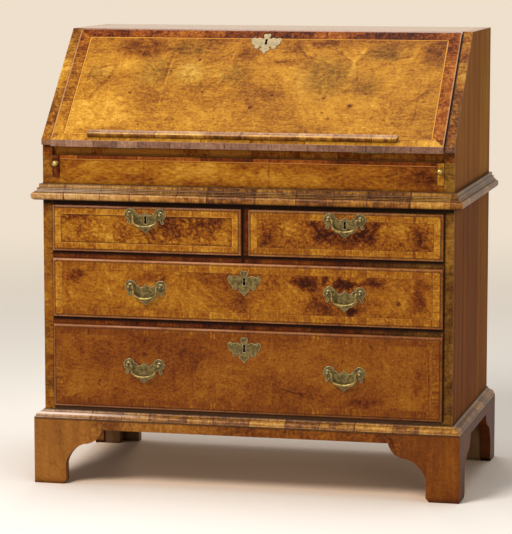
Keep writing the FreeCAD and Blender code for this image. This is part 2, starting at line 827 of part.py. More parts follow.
def handle_nut(x, z):
    """A square nut on the end of a post's shank, behind the drawer front."""
    nut = box(
        x - nut_radius, x + nut_radius, front_thickness, front_thickness + nut_thickness,
        z - nut_radius, z + nut_radius,
    )
    return nut.cut(rod(post_shank_radius + nut_gap, nut_thickness, V(x, front_thickness, z), V(0, 1, 0)))


def handle_brasses(x, z, keyed):
    """One bat-wing plate with its two posts and nuts."""
    plate = plate_solid((0, 0.12), plate_shares, plate_width, plate_height)
    plate.translate(V(x, -lip_thickness, z))
    pieces = []
    for side in (-1, 1):
        at = x + side * post_spacing / 2
        start = V(at, -lip_thickness - plate_thickness - overrun, z)
        hole = rod(post_shank_radius, plate_thickness + 2 * overrun, start, V(0, 1, 0))
        plate = plate.cut(hole)
        pieces += [handle_post(at, z), handle_nut(at, z)]
    if keyed:
        plate = plate.cut(keyhole(x, keyed, -lip_thickness - plate_thickness - overrun, overrun))
    return [plate] + pieces


def bail(x, z):
    """A hanging swan-necked handle: its pins turn in the two posts."""
    pin_in = post_spacing / 2 - post_head_radius - bail_side_gap
    neck = pin_in - bail_collar_length
    hip = bail_belly_width / 2
    y = post_axis_y
    bend = math.sqrt(1 / 2)
    corner = bail_drop * bail_share_neck
    low = bail_drop * bail_share_hip
    belly = bail_drop - low
    steps = []
    here = V(x - neck, y, z)
    inward = neck - hip
    points = [
        (V(x - hip - inward * (1 - bend), y, z - corner * (1 - bend)), V(x - hip, y, z - corner)),
        (None, V(x - hip, y, z - low)),
        (V(x - hip * bend, y, z - low - belly * bend), V(x, y, z - bail_drop)),
        (V(x + hip * bend, y, z - low - belly * bend), V(x + hip, y, z - low)),
        (None, V(x + hip, y, z - corner)),
        (V(x + hip + inward * (1 - bend), y, z - corner * (1 - bend)), V(x + neck, y, z)),
    ]
    for middle, there in points:
        if middle is None:
            steps.append(Part.makeLine(here, there))
        else:
            steps.append(Part.Arc(here, middle, there).toShape())
        here = there
    path = Part.Wire(steps)
    ring = Part.Wire([Part.makeCircle(bail_radius, V(x - neck, y, z), V(1, 0, 0))])
    body = path.makePipeShell([ring], True, False)
    pin_length = bail_collar_length + bail_side_gap + 2 * post_head_radius
    for side in (-1, 1):
        way = V(side, 0, 0)
        collar = rod(bail_collar_radius, bail_collar_length, V(x + side * neck, y, z), way)
        pin = rod(bail_pin_radius, pin_length, V(x + side * neck, y, z), way)
        body = body.fuse(collar).fuse(pin)
    return body


drawers = (
    ("short_drawer_left", -opening_half, -divider_width / 2, short_floor, short_top, short_post_drop, "keyed"),
    ("short_drawer_right", divider_width / 2, opening_half, short_floor, short_top, short_post_drop, "keyed"),
    ("upper_drawer", -opening_half, opening_half, upper_floor, upper_top, upper_post_drop, "plain"),
    ("lower_drawer", -opening_half, opening_half, lower_floor, lower_top, lower_post_drop, "plain"),
)
for name, x0, x1, z0, z1, drop, kind in drawers:
    front = box(x0 - lip_overlap, x1 + lip_overlap, -lip_thickness, 0, z0 - lip_overlap, z1 + lip_overlap)
    for cutter in thumbnail_cutters(x0 - lip_overlap, x1 + lip_overlap, z0 - lip_overlap, z1 + lip_overlap):
        front = front.cut(cutter)
    left = x0 + drawer_side_gap
    right = x1 - drawer_side_gap
    low = z0 + drawer_seat_gap
    high = z1 - drawer_top_gap
    front = front.fuse(box(left, right, 0, front_thickness, low, high)).removeSplitter()
    posts_z = post_line(z1, drop)
    if kind == "keyed":
        side = 1 if x0 > -divider_width else -1
        lock_x = side * handle_offset
        handle_places = [lock_x]
        key_z = posts_z - plate_key_drop
        wings = None
    else:
        lock_x = 0
        shift = lower_left_shift if name == "lower_drawer" else 0
        handle_places = [-handle_offset - shift, handle_offset]
        wings = z1 + lip_overlap - escutcheon_lowering
        key_z = wings - escutcheon_drop + keyhole_height / 2
    lock_left = lock_x - lock_width / 2
    lock_right = lock_x + lock_width / 2
    lock_space = box(lock_left, lock_right, lock_front, front_thickness, high - lock_height, high)
    front = front.cut(lock_space)
    front = front.cut(keyhole(lock_x, key_z, -lip_thickness - overrun, front_thickness + overrun))
    brasses = []
    for number, at in enumerate(handle_places):
        brasses += handle_brasses(at, posts_z, key_z if kind == "keyed" else None)
        for side in (-1, 1):
            post_x = at + side * post_spacing / 2
            start = V(post_x, -lip_thickness - overrun, posts_z)
            length = lip_thickness + front_thickness + 2 * overrun
            front = front.cut(rod(post_shank_radius + post_shank_gap, length, start, V(0, 1, 0)))
        if kind == "keyed":
            add(name + "_bail", [bail(at, posts_z)])
        else:
            add(name + ("_bail_left", "_bail_right")[number], [bail(at, posts_z)])
    if wings is not None:
        plate = escutcheon_at(lock_x, -lip_thickness, wings, escutcheon_width, escutcheon_height)
        brasses.append(plate)
    bolt_top = high - bolt_sink
    lock = lock_space.cut(bolt_box(lock_x, bolt_front, bolt_top, bolt_gap, overrun))
    lock = lock.cut(keyhole(lock_x, key_z, -lip_thickness - overrun, bolt_front))
    brasses.append(lock)
    add(name + "_front", [front])
    add(name + "_brasses", brasses)
    add(name + "_bolt", [bolt_box(lock_x, bolt_front, bolt_top, 0, 0)])
    wood = []
    end = back_inner - drawer_back_gap
    for side_x in (left, right - drawer_side_thickness):
        wood.append(box(side_x, side_x + drawer_side_thickness, front_thickness, end, low, high))
    inside_left = left + drawer_side_thickness
    inside_right = right - drawer_side_thickness
    bottom_z = low + drawer_bottom_lift
    bottom_top = bottom_z + drawer_bottom_thickness
    back_y = end - drawer_back_thickness
    wood.append(box(inside_left, inside_right, back_y, end, bottom_top, high - drawer_back_drop))
    wood.append(box(inside_left, inside_right, front_thickness, end, bottom_z, bottom_top))
    add(name + "_box", wood)


# Mouldings in three mitred runs: front, right and left
def moulding(shares, projection, height, z0):
    reach = half_width + projection
    front_wire = outline((0, 0), shares, lambda p, h: V(-reach, -p * projection, z0 + h * height))
    side_wire = outline(
        (0, 0), shares, lambda p, h: V(half_width + p * projection, -projection, z0 + h * height),
    )
    front_run = prism(front_wire, V(2 * reach, 0, 0))
    side_run = prism(side_wire, V(0, projection + case_depth, 0))
    front_plan = plan_prism(
        [(-reach, -projection), (reach, -projection), (half_width, 0), (-half_width, 0)], z0, z0 + height,
    )
    side_plan = plan_prism(
        [(half_width, 0), (reach, -projection), (reach, case_depth), (half_width, case_depth)],
        z0, z0 + height,
    )
    return [front_run.common(front_plan)] + both([side_run.common(side_plan)])


add("waist_moulding", moulding(waist_shares, waist_projection, waist_height, waist_bottom))
add("base_moulding", moulding(base_shares, base_projection, base_height, foot_height))

# Bracket feet: two shaped boards mitred at the corner, with a block behind them
corner_x = half_width + base_projection
corner_y = -base_projection
board_x = corner_x - bracket_thickness
board_y = corner_y + bracket_thickness
bracket_x = corner_x - bracket_width
bracket_y = corner_y + bracket_width
front_wire = outline(
    (0, 0), bracket_shares, lambda a, h: V(corner_x - a * bracket_width, corner_y, h * foot_height),
)
front_board = prism(front_wire, V(0, bracket_thickness, 0)).common(plan_prism([
    (bracket_x, corner_y), (corner_x, corner_y), (board_x, board_y), (bracket_x, board_y),
], 0, foot_height))
side_wire = outline(
    (0, 0), bracket_shares, lambda a, h: V(board_x, corner_y + a * bracket_width, h * foot_height),
)
side_board = prism(side_wire, V(bracket_thickness, 0, 0)).common(plan_prism([
    (corner_x, corner_y), (corner_x, bracket_y), (board_x, bracket_y), (board_x, board_y),
], 0, foot_height))
front_block = box(board_x - block_width, board_x, board_y, board_y + block_width, block_lift, foot_height)
front_foot = [front_board, side_board, front_block]
add("foot_front_right", front_foot)
add("foot_front_left", [mirrored(shape) for shape in front_foot])

rear_wire = outline(
    (0, 0), bracket_shares,
    lambda a, h: V(board_x, case_depth - a * rear_bracket_width, h * foot_height),
)
rear_side = prism(rear_wire, V(bracket_thickness, 0, 0))
back_y = case_depth - bracket_thickness
back_corners = [
    V(board_x, back_y, 0), V(corner_x - back_bracket_width, back_y, 0),
    V(corner_x - back_bracket_width, back_y, foot_height / 2),
    V(corner_x - back_bracket_top_width, back_y, foot_height), V(board_x, back_y, foot_height),
]
rear_back = prism(Part.makePolygon(back_corners + back_corners[:1]), V(0, bracket_thickness, 0))
rear_block = box(board_x - block_width, board_x, back_y - block_width, back_y, block_lift, foot_height)
rear_foot = [rear_side, rear_back, rear_block]
add("foot_rear_right", rear_foot)
add("foot_rear_left", [mirrored(shape) for shape in rear_foot])

# Straight aprons between the feet
apron_bottom = foot_height - apron_height
aprons = [box(-bracket_x, bracket_x, corner_y, board_y, apron_bottom, foot_height)]
aprons += both([box(
    board_x, corner_x, bracket_y, case_depth - rear_bracket_width, apron_bottom, foot_height,
)])
add("base_aprons", aprons)

# Pigeonhole case behind the fall
gallery_front = top_front + gallery_setback
gallery_half = inner_half - gallery_side_gap
gallery_floor = bed_top + gallery_board
gallery_top = top_underside - gallery_board
gallery_height = gallery_top - gallery_floor
tier_height = gallery_height * tier_share
shelf_bottom = gallery_floor + tier_height
small_knob_radius = tier_height * small_knob_share
shelf_top = shelf_bottom + gallery_board
pigeonhole_height = gallery_top - shelf_top
bay_inner = niche_half_width + gallery_upright
bay_outer = gallery_half - gallery_upright
bay_width = bay_outer - bay_inner
cell_width = (bay_width - (pigeonholes_per_side - 1) * gallery_thin) / pigeonholes_per_side
drawer_cell = (bay_width - (small_drawers_per_side - 1) * gallery_board) / small_drawers_per_side


def gallery_box(x0, x1, z0, z1):
    return box(x0, x1, gallery_front, back_inner, z0, z1)


gallery = [
    gallery_box(-gallery_half, gallery_half, bed_top, gallery_floor),
    gallery_box(-gallery_half, gallery_half, gallery_top, top_underside),
]
right_bay = [
    gallery_box(niche_half_width, bay_inner, gallery_floor, gallery_top),
    gallery_box(bay_outer, gallery_half, gallery_floor, gallery_top),
    gallery_box(bay_inner, bay_outer, shelf_bottom, shelf_top),
]
for number in range(1, pigeonholes_per_side):
    x = bay_inner + number * (cell_width + gallery_thin) - gallery_thin
    right_bay.append(gallery_box(x, x + gallery_thin, shelf_top, gallery_top))
for number in range(1, small_drawers_per_side):
    x = bay_inner + number * (drawer_cell + gallery_board) - gallery_board
    right_bay.append(gallery_box(x, x + gallery_board, gallery_floor, shelf_bottom))
add("pigeonhole_case", gallery + both(right_bay))


# Shaped valances at the heads of the pigeonholes
def valance(x0, x1, drop):
    y = gallery_front + valance_setback
    wire = outline((0, 0), valance_shares, lambda a, h: V(x0 + a * (x1 - x0), y, gallery_top + h * drop))
    return prism(wire, V(0, valance_thickness, 0))


right_valances = []
for number in range(pigeonholes_per_side):
    x = bay_inner + number * (cell_width + gallery_thin)
    right_valances.append(valance(x, x + cell_width, pigeonhole_height * valance_share))
niche_valance = valance(-niche_half_width, niche_half_width, gallery_height * niche_valance_share)
add("pigeonhole_valances", both(right_valances) + [niche_valance])


# Small drawers below the pigeonholes
def small_drawer(x0, x1):
    left = x0 + small_drawer_gap
    right = x1 - small_drawer_gap
    low = gallery_floor + small_drawer_seat
    high = shelf_bottom - small_drawer_gap
    face = gallery_front
    inside = face + small_front_thickness
    end = back_inner - small_drawer_back_gap
    middle = (left + right) / 2
    knob_height = (low + high) / 2
    knob_stem = face - small_knob_neck_length
    knob = revolve_y([
        (0, inside), (small_knob_neck_radius, inside),
        (small_knob_neck_radius, knob_stem - small_knob_radius / 2),
        (0, knob_stem - small_knob_radius / 2),
    ], middle, knob_height)
    ball = Part.makeSphere(small_knob_radius, V(middle, knob_stem - small_knob_radius, knob_height))
    knob = knob.fuse(ball)
    bore_start = V(middle, face, knob_height)
    bore = rod(small_knob_neck_radius + knob_fit, small_front_thickness, bore_start, V(0, 1, 0))
    front = box(left, right, face, inside, low, high).cut(bore)
    pieces = [front, knob]
    for x in (left, right - small_side_thickness):
        pieces.append(box(x, x + small_side_thickness, inside, end, low, high))
    in_left = left + small_side_thickness
    in_right = right - small_side_thickness
    floor = low + small_bottom_thickness
    pieces.append(box(in_left, in_right, inside, end, low, floor))
    pieces.append(box(in_left, in_right, end - small_side_thickness, end, floor, high - tier_height * small_back_share))
    return pieces


for number in range(small_drawers_per_side):
    x = bay_inner + number * (drawer_cell + gallery_board)
    pieces = small_drawer(x, x + drawer_cell)
    add("small_drawer_right_" + str(number + 1), pieces)
    add("small_drawer_left_" + str(number + 1), [mirrored(piece) for piece in pieces])

# Move everything so that the origin is the bottom centre of the whole, then write it
whole = Part.makeCompound([solid for solids in nodes.values() for solid in solids])
limits = whole.optimalBoundingBox(False, False)
shift = V(-(limits.XMin + limits.XMax) / 2, -(limits.YMin + limits.YMax) / 2, -limits.ZMin)
os.makedirs("parts", exist_ok=True)
for name, solids in nodes.items():
    moved = []
    for solid in solids:
        piece = solid.copy()
        piece.translate(shift)
        moved.append(piece)
    shape = moved[0] if len(moved) == 1 else Part.makeCompound(moved)
    shape.exportStep("parts/" + name + ".step")
print("pieces", len(nodes), "solids", sum(len(solids) for solids in nodes.values()))
print("shift", round(shift.x, 4), round(shift.y, 4), round(shift.z, 4))
print("box", round(limits.XLength, 2), round(limits.YLength, 2), round(limits.ZLength, 2))
print("hinge line", 0, round(shift.y, 4), round(bed_top + shift.z, 4), "opens", round(open_angle, 3))
print("post axis", round(post_axis_y + shift.y, 4))
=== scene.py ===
import bmesh
import bpy
import json
import math
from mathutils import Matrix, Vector

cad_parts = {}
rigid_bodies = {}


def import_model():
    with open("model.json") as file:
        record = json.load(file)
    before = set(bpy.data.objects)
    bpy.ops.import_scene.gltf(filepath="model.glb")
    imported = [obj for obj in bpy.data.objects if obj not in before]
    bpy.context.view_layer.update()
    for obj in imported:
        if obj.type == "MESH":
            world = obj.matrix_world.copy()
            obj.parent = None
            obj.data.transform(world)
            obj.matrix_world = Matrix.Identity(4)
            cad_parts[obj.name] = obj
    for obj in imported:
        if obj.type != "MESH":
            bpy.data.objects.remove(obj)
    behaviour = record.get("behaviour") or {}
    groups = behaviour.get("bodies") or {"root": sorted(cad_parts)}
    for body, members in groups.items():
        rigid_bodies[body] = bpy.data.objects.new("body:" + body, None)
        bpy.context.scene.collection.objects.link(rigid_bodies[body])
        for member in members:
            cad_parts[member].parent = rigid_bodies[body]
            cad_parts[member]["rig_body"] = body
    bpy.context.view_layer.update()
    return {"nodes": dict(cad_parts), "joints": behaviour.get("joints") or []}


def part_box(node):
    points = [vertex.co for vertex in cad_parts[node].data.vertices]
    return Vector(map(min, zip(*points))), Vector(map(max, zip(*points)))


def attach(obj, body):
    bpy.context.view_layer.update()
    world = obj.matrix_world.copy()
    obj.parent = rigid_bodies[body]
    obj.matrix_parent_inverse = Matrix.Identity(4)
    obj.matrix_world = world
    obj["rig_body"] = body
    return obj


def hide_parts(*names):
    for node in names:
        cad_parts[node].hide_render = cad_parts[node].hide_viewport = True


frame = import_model()
nodes = frame["nodes"]

# Places that the frame gives: the hinge line of the fall, and how far the fall leans back
hinge = [joint for joint in frame["joints"] if joint["name"] == "fall_hinge"][0]
front = hinge["pos_m"][1]
bed = hinge["pos_m"][2]
lean = math.radians(hinge["range_deg"][1] - 90)
half_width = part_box("side_right")[1].x
side_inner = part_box("side_right")[0].x
fall_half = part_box("fall_board")[1].x
# How far up the slope the fall reaches, and half the distance between the posts of a handle
fall_top = 0.333
post_half = 0.0355


# Nodes of a material, written as sums
def operator(name, swapped=False):
    """How a value takes part in Python's own arithmetic."""
    if swapped:
        return lambda value, other: calculate(name, other, value)
    return lambda value, other: calculate(name, value, other)


class Value:
    """A number, place or colour that flows through the nodes of one material."""

    def __init__(self, graph, socket):
        self.graph = graph
        self.socket = socket

    __add__ = operator("ADD")
    __radd__ = operator("ADD", True)
    __sub__ = operator("SUBTRACT")
    __rsub__ = operator("SUBTRACT", True)
    __mul__ = operator("MULTIPLY")
    __rmul__ = operator("MULTIPLY", True)
    __truediv__ = operator("DIVIDE")


class Graph:
    """The nodes of one material or of the world, empty at first."""

    def __init__(self, owner):
        owner.use_nodes = True
        self.owner = owner
        self.tree = owner.node_tree
        self.tree.nodes.clear()


def make(kind, inputs, output=0, graph=None, **settings):
    """A new node beside its inputs: a value is linked, anything else is set."""
    if graph is None:
        graph = next(value.graph for value in inputs.values() if isinstance(value, Value))
    node = graph.tree.nodes.new(kind)
    for name, setting in settings.items():
        setattr(node, name, setting)
    for name, value in inputs.items():
        if isinstance(value, Value):
            graph.tree.links.new(value.socket, node.inputs[name])
        else:
            node.inputs[name].default_value = value
    return Value(graph, node.outputs[output])


def result(shader, kind="Material"):
    """The material or world whose result that shader is."""
    end = shader.graph.tree.nodes.new("ShaderNodeOutput" + kind)
    shader.graph.tree.links.new(shader.socket, end.inputs[0])
    return shader.graph.owner


def start(name):
    """A new material, as the x, y and z of the place that it colours."""
    place = make("ShaderNodeTexCoord", {}, "Object", Graph(bpy.data.materials.new(name)))
    return [make("ShaderNodeSeparateXYZ", {0: place}, number) for number in range(3)]


def on_slope(y, z):
    """The same place measured up the slope of the closed fall and out of it."""
    up = (y - front) * math.sin(lean) + (z - bed) * math.cos(lean)
    out = (z - bed) * math.sin(lean) - (y - front) * math.cos(lean)
    return up, out


def calculate(operation, first, second=0.0, third=0.0):
    return make("ShaderNodeMath", {0: first, 1: second, 2: third}, operation=operation)


def arithmetic(operation):
    """A short call for one kind of step."""
    return lambda *values: calculate(operation, *values)


least = arithmetic("MINIMUM")
most = arithmetic("MAXIMUM")
size = arithmetic("ABSOLUTE")
wave = arithmetic("SINE")
above = arithmetic("GREATER_THAN")
whole_part = arithmetic("FLOOR")
broken_part = arithmetic("FRACT")


def vector(x, y, z):
    return make("ShaderNodeCombineXYZ", {0: x, 1: y, 2: z})


def noise(place, scale, detail=2.0, roughness=0.5, distortion=0.0):
    numbers = {"Scale": scale, "Detail": detail, "Roughness": roughness, "Distortion": distortion}
    return make("ShaderNodeTexNoise", {"Vector": place, **numbers})


def cells(place, scale, feature="F1"):
    return make("ShaderNodeTexVoronoi", {"Vector": place, "Scale": scale}, feature=feature)


def chance(value):
    """A number from 0 to 1 that belongs to that value alone."""
    return make("ShaderNodeTexWhiteNoise", {"W": value}, noise_dimensions="1D")


def passage(value, start_at, end_at, first, last):
    """first up to start_at, last from end_at on, smooth between them."""
    inputs = {0: value, 1: start_at, 2: end_at, 3: first, 4: last}
    return make("ShaderNodeMapRange", inputs, interpolation_type="SMOOTHSTEP", clamp=False)


def rise(value, start_at, end_at):
    """0 up to start_at, 1 from end_at on."""
    return passage(value, start_at, end_at, 0.0, 1.0)


def fade(value, start_at, end_at, amount=1.0):
    """That amount up to start_at, nothing from end_at on."""
    return passage(value, start_at, end_at, amount, 0.0)


def past(value):
    """1 where a distance is above 0, with a hair's breadth between."""
    return rise(value, -0.0002, 0.0002)


def line(value, middle, width):
    """1 on a line of that width where value is near middle, 0 away from it."""
    return fade(size(value - middle), width * 0.35, width * 0.65)


def oval(place, middle, half, amount):
    """A soft oval of that amount; the third number of place is 1."""
    scale = (1 / half[0], 1 / half[1], 0.0)
    shift = (-middle[0] / half[0], -middle[1] / half[1], 0.0)
    near = make("ShaderNodeVectorMath", {0: place, 1: scale, 2: shift}, operation="MULTIPLY_ADD")
    return fade(make("ShaderNodeVectorMath", {0: near}, "Value", operation="LENGTH"), 0.25, 1.2, amount)


def stroke(place, first, last, width, amount):
    """A thin soft stroke between two ends; the third number of place is 1."""
    run = Vector(last) - Vector(first)
    middle = (Vector(first) + Vector(last)) / 2
    half = run.length * 0.62
    way = run.normalized()
    reach = 0.0
    for aim, share in ((way, half), (Vector((-way.y, way.x)), width)):
        measure = (aim.x / share, aim.y / share, -middle.dot(aim) / share)
        part = make("ShaderNodeVectorMath", {0: place, 1: measure}, "Value", operation="DOT_PRODUCT")
        reach = calculate("MULTIPLY_ADD", part, part, reach)
    return fade(reach, 0.06, 1.44, amount)


def mix(share, first, second):
    return make("ShaderNodeMix", {0: share, 6: first, 7: second}, 2, data_type="RGBA")


def ramp(value, wood):
    """The colour of a wood at a tone from 0, dark, to 1, light."""
    shade = make("ShaderNodeValToRGB", {0: value})
    elements = shade.socket.node.color_ramp.elements
    while len(elements) < len(wood):
        elements.new(0.5)
    for element, place, paint in zip(elements, (0.05, 0.27, 0.47, 0.66, 0.92), wood):
        element.position = place
        element.color = paint
    return shade


def inlay(base, value, middle, width, amount, paint):
    """A line of that colour in the surface, where value is near middle."""
    return mix(line(value, middle, width) * amount, base, paint)


def closeness(graph, distance):
    """1 in the open, less in a corner or next to another piece."""
    return make("ShaderNodeAmbientOcclusion", {"Distance": distance}, "AO", graph, samples=6)


def rounded(graph, radius):
    return make("ShaderNodeBevel", {"Radius": radius}, 0, graph, samples=4)


def edge(graph, radius):
    """1 on a sharp outer or inner edge, 0 on a flat face."""
    inputs = {0: rounded(graph, radius), 1: make("ShaderNodeNewGeometry", {}, "Normal", graph)}
    return fade(make("ShaderNodeVectorMath", inputs, "Value", operation="DOT_PRODUCT"), 0.72, 0.995)


def surface(paint, roughness, height, relief, corner, metal=0.0, coat=0.0, gloss=0.06, bend=1.5):
    """The finished material, with soft corners and a fine relief."""
    bumps = {"Strength": 1.0, "Distance": relief, "Height": height, "Normal": rounded(paint.graph, corner)}
    shader = make("ShaderNodeBsdfPrincipled", {
        "Base Color": paint, "Roughness": roughness, "Metallic": metal, "IOR": bend, "Coat Weight": coat,
        "Coat Roughness": 0.16, "Specular IOR Level": gloss, "Normal": make("ShaderNodeBump", bumps),
    })
    return result(shader)


def colour(red, green, blue):
    """A colour as a screen shows it, from 0 to 255, in the linear numbers that the shader takes."""
    parts = []
    for part in (red, green, blue):
        share = part / 255
        parts.append(share / 12.92 if share <= 0.04045 else ((share + 0.055) / 1.055) ** 2.4)
    return (*parts, 1.0)


def wood_colours(*shades):
    return [colour(*shade) for shade in shades]


# Colours of the woods, each from dark to light
golden = wood_colours((82, 39, 10), (118, 69, 19), (149, 97, 26), (171, 119, 36), (197, 149, 60))
warm = wood_colours((58, 20, 5), (94, 45, 9), (126, 70, 13), (147, 94, 20), (172, 125, 40))
russet = wood_colours((62, 22, 5), (92, 42, 9), (114, 60, 12), (129, 76, 17), (151, 100, 31))
brown = wood_colours((55, 23, 5), (83, 41, 12), (108, 57, 19), (124, 69, 26), (145, 87, 39))
pinkish = wood_colours((65, 37, 27), (93, 60, 43), (117, 79, 58), (133, 97, 74), (158, 127, 106))
honey = wood_colours((67, 32, 8), (104, 60, 20), (136, 86, 33), (156, 109, 48), (181, 138, 76))
oak = wood_colours((92, 64, 40), (132, 98, 64), (160, 124, 84), (178, 144, 102), (200, 170, 128))
pine = wood_colours((70, 46, 28), (98, 68, 42), (122, 88, 56), (142, 108, 72), (166, 134, 96))
olive = wood_colours((61, 36, 8), (94, 62, 18), (123, 87, 30), (142, 105, 42), (169, 136, 67))
ruddy = wood_colours((43, 12, 3), (75, 29, 5), (105, 48, 10), (129, 68, 17), (158, 99, 33))
pale_line = colour(218, 158, 76)
dark_line = colour(46, 18, 6)


# Figures of wood: each gives a tone from 0, dark, to 1, light
def fibres(along, across, depth, seed):
    """Fine straight fibres that run along one way."""
    place = vector(along * 14.0, across * 230.0, depth * 90.0 + seed)
    return noise(place, 1.0, 3.0, 0.65)


def pores(along, across, depth, seed):
    """Short dark dashes along the grain."""
    place = vector(along * 70.0, across * 330.0, depth * 200.0 + seed)
    return rise(noise(place, 1.0, 2.0, 0.5), 0.58, 0.70)


def speckle(u, v, depth, seed):
    """Small irregular light and dark grains, a few millimetres across."""
    return noise(vector(u, v, depth + seed), 185.0, 2.0, 0.6)


def burr(u, v, depth, seed, spread=1.0, clump=1.0, net=0.12):
    """Swirling burr with curls, clumps, flecks along the grain, small dark eyes and a dark net."""
    first = noise(vector(u, v, depth + seed), 4.2 / spread, 2.0)
    second = noise(vector(v, u, depth + seed + 9.0), 5.1 / spread, 2.0)
    bent_u = u + (first - 0.5) * (0.16 * spread)
    bent_v = v + (second - 0.5) * (0.16 * spread)
    bent = vector(bent_u, bent_v, depth + seed + 4.0)
    swirl = noise(bent, 7.5 / spread, 3.0, 0.55)
    curl = noise(bent, 36.0 / spread, 5.0, 0.7, 0.9)
    lines = wave(swirl * 64.0 + curl * 9.0)
    grain = noise(vector(bent_u * 70.0, bent_v * 300.0, seed), 1.0, 3.0, 0.65)
    flecks = pores(bent_u, bent_v, depth, seed + 2.0)
    wobble = (noise(vector(u, v, seed), 90.0, 2.0) - 0.5) * 0.02
    blots = cells(vector(u + wobble, v - wobble, seed), 78.0, "DISTANCE_TO_EDGE")
    web = fade(blots, 0.02, 0.24) * rise(noise(bent, 17.0, 2.0), 0.34, 0.55)
    eyes = cells(vector(bent_u, bent_v, seed), 62.0 / spread)
    gate = rise(noise(bent, 13.0 / spread, 1.0), 0.5, 0.62)
    spots = fade(eyes, 0.04, 0.26) * gate
    grains = speckle(u, v, depth, seed)
    tone = 0.5 + (swirl - 0.5) * 1.2 + (curl - 0.5) * clump + lines * 0.025
    tone = tone + (grain - 0.5) * 0.6 + (grains - 0.5) * 0.9 - spots * 0.22 - flecks * 0.13 - web * net
    return tone, grain * 0.5 + curl * 0.5 - spots * 0.4 - flecks * 0.4


def plain_figure(along, across, depth, seed, wild=1.0):
    """Straight-grained board: long streaks, fine fibres and pores."""
    sway = noise(vector(along, across, depth + seed), 2.2, 2.0)
    bent = across + (sway - 0.5) * (0.06 * wild)
    streaks = noise(vector(along * 1.1, bent * 26.0, seed), 1.0, 4.0, 0.6)
    broad = noise(vector(along * 1.6, bent * 7.0, seed + 2.0), 1.0, 2.0)
    fine = fibres(along, bent, depth, seed)
    dashes = pores(along, bent, depth, seed)
    tone = 0.5 + (streaks - 0.5) * 0.8 + (broad - 0.5) * 0.6 + (fine - 0.5) * 0.45 - dashes * 0.12
    return tone, fine - dashes


def cross_band(run, across, depth, seed, block, uneven_tone=0.34, joints=0.4):
    """Cross-grained strip made of short blocks, with a fine joint between each two."""
    uneven = noise(vector(run, seed, 0.0), 3.1 / block * 0.2, 1.0)
    count = run / block + uneven * 1.6
    number = whole_part(count)
    part = broken_part(count)
    own = chance(number + seed)
    fine = noise(vector(run * 330.0, across * 26.0, depth * 20.0 + number), 1.0, 3.0, 0.65)
    cloud = noise(vector(run, across, depth + number * 3.0), 42.0, 5.0, 0.68, 0.6)
    grains = speckle(run, across, depth, seed)
    gap = least(part, 1.0 - part) * block
    joint = fade(gap, 0.0003, 0.0012)
    tone = 0.5 + (own - 0.5) * uneven_tone + (fine - 0.5) * 0.7 + (cloud - 0.5) + (grains - 0.5) * 0.6
    return tone - joint * joints, fine * 0.6 - joint * (joints + 0.3)


def clouds(u, v, places, seed, ragged=0.07):
    """Sum of soft patches: middle and half sizes in millimetres, then how much lighter in hundredths."""
    ragged_u = u + (noise(vector(u, v, seed), 24.0, 6.0, 0.74) - 0.5) * ragged
    ragged_v = v + (noise(vector(v, u, seed + 5.0), 24.0, 6.0, 0.74) - 0.5) * ragged
    broken = rise(noise(vector(u, v, seed + 8.0), 60.0, 4.0, 0.7), 0.3, 0.7) * 0.9 + 0.5
    place = vector(ragged_u, ragged_v, 1.0)
    total = 0.0
    for patch in places:
        middle_u, middle_v, wide, high = [number / 1000 for number in patch[:4]]
        total = total + oval(place, (middle_u, middle_v), (wide, high), patch[4] / 100)
    return total * broken


def strokes(u, v, places):
    """Sum of soft strokes: two ends and width in millimetres, then how much lighter in hundredths."""
    bent_u = u + (noise(vector(u, v, 3.0), 24.0, 3.0, 0.6) - 0.5) * 0.012
    bent_v = v + (noise(vector(v, u, 7.0), 24.0, 3.0, 0.6) - 0.5) * 0.012
    place = vector(bent_u, bent_v, 1.0)
    total = 0.0
    for mark in places:
        start_u, start_v, end_u, end_v, width = [number / 1000 for number in mark[:5]]
        total = total + stroke(place, (start_u, start_v), (end_u, end_v), width, mark[5] / 100)
    return total


def painted_shade_and_wear(base, painted_shade, wear_and_highlight, rubbed_highlight_colour=colour(196, 150, 104), reach=0.012):
    """Painted shade in corners and beside brasses, where ambient occlusion finds them; edges painted
    lighter, as rubbed wear and a painted highlight.
    """
    # Painted shade: darker where another piece is close by
    shade = rise(closeness(base.graph, reach), 0.25, 0.95)
    base = make("ShaderNodeVectorMath", {0: base, "Scale": shade * painted_shade + (1.0 - painted_shade)}, operation="SCALE")
    # Edges painted lighter: rubbed wear and a painted highlight
    return mix(edge(base.graph, 0.0011) * wear_and_highlight, base, rubbed_highlight_colour) if wear_and_highlight else base


def give(material, *names):
    """Puts one material on each named CAD node."""
    for name in names:
        slots = nodes[name].data.materials
        slots.clear()
        slots.append(material)


# Fall: burr veneer inside a light line and a cross-grained border
side_border = 0.0275
top_border = 0.0235
bottom_border = 0.0195
writing_border = 0.05


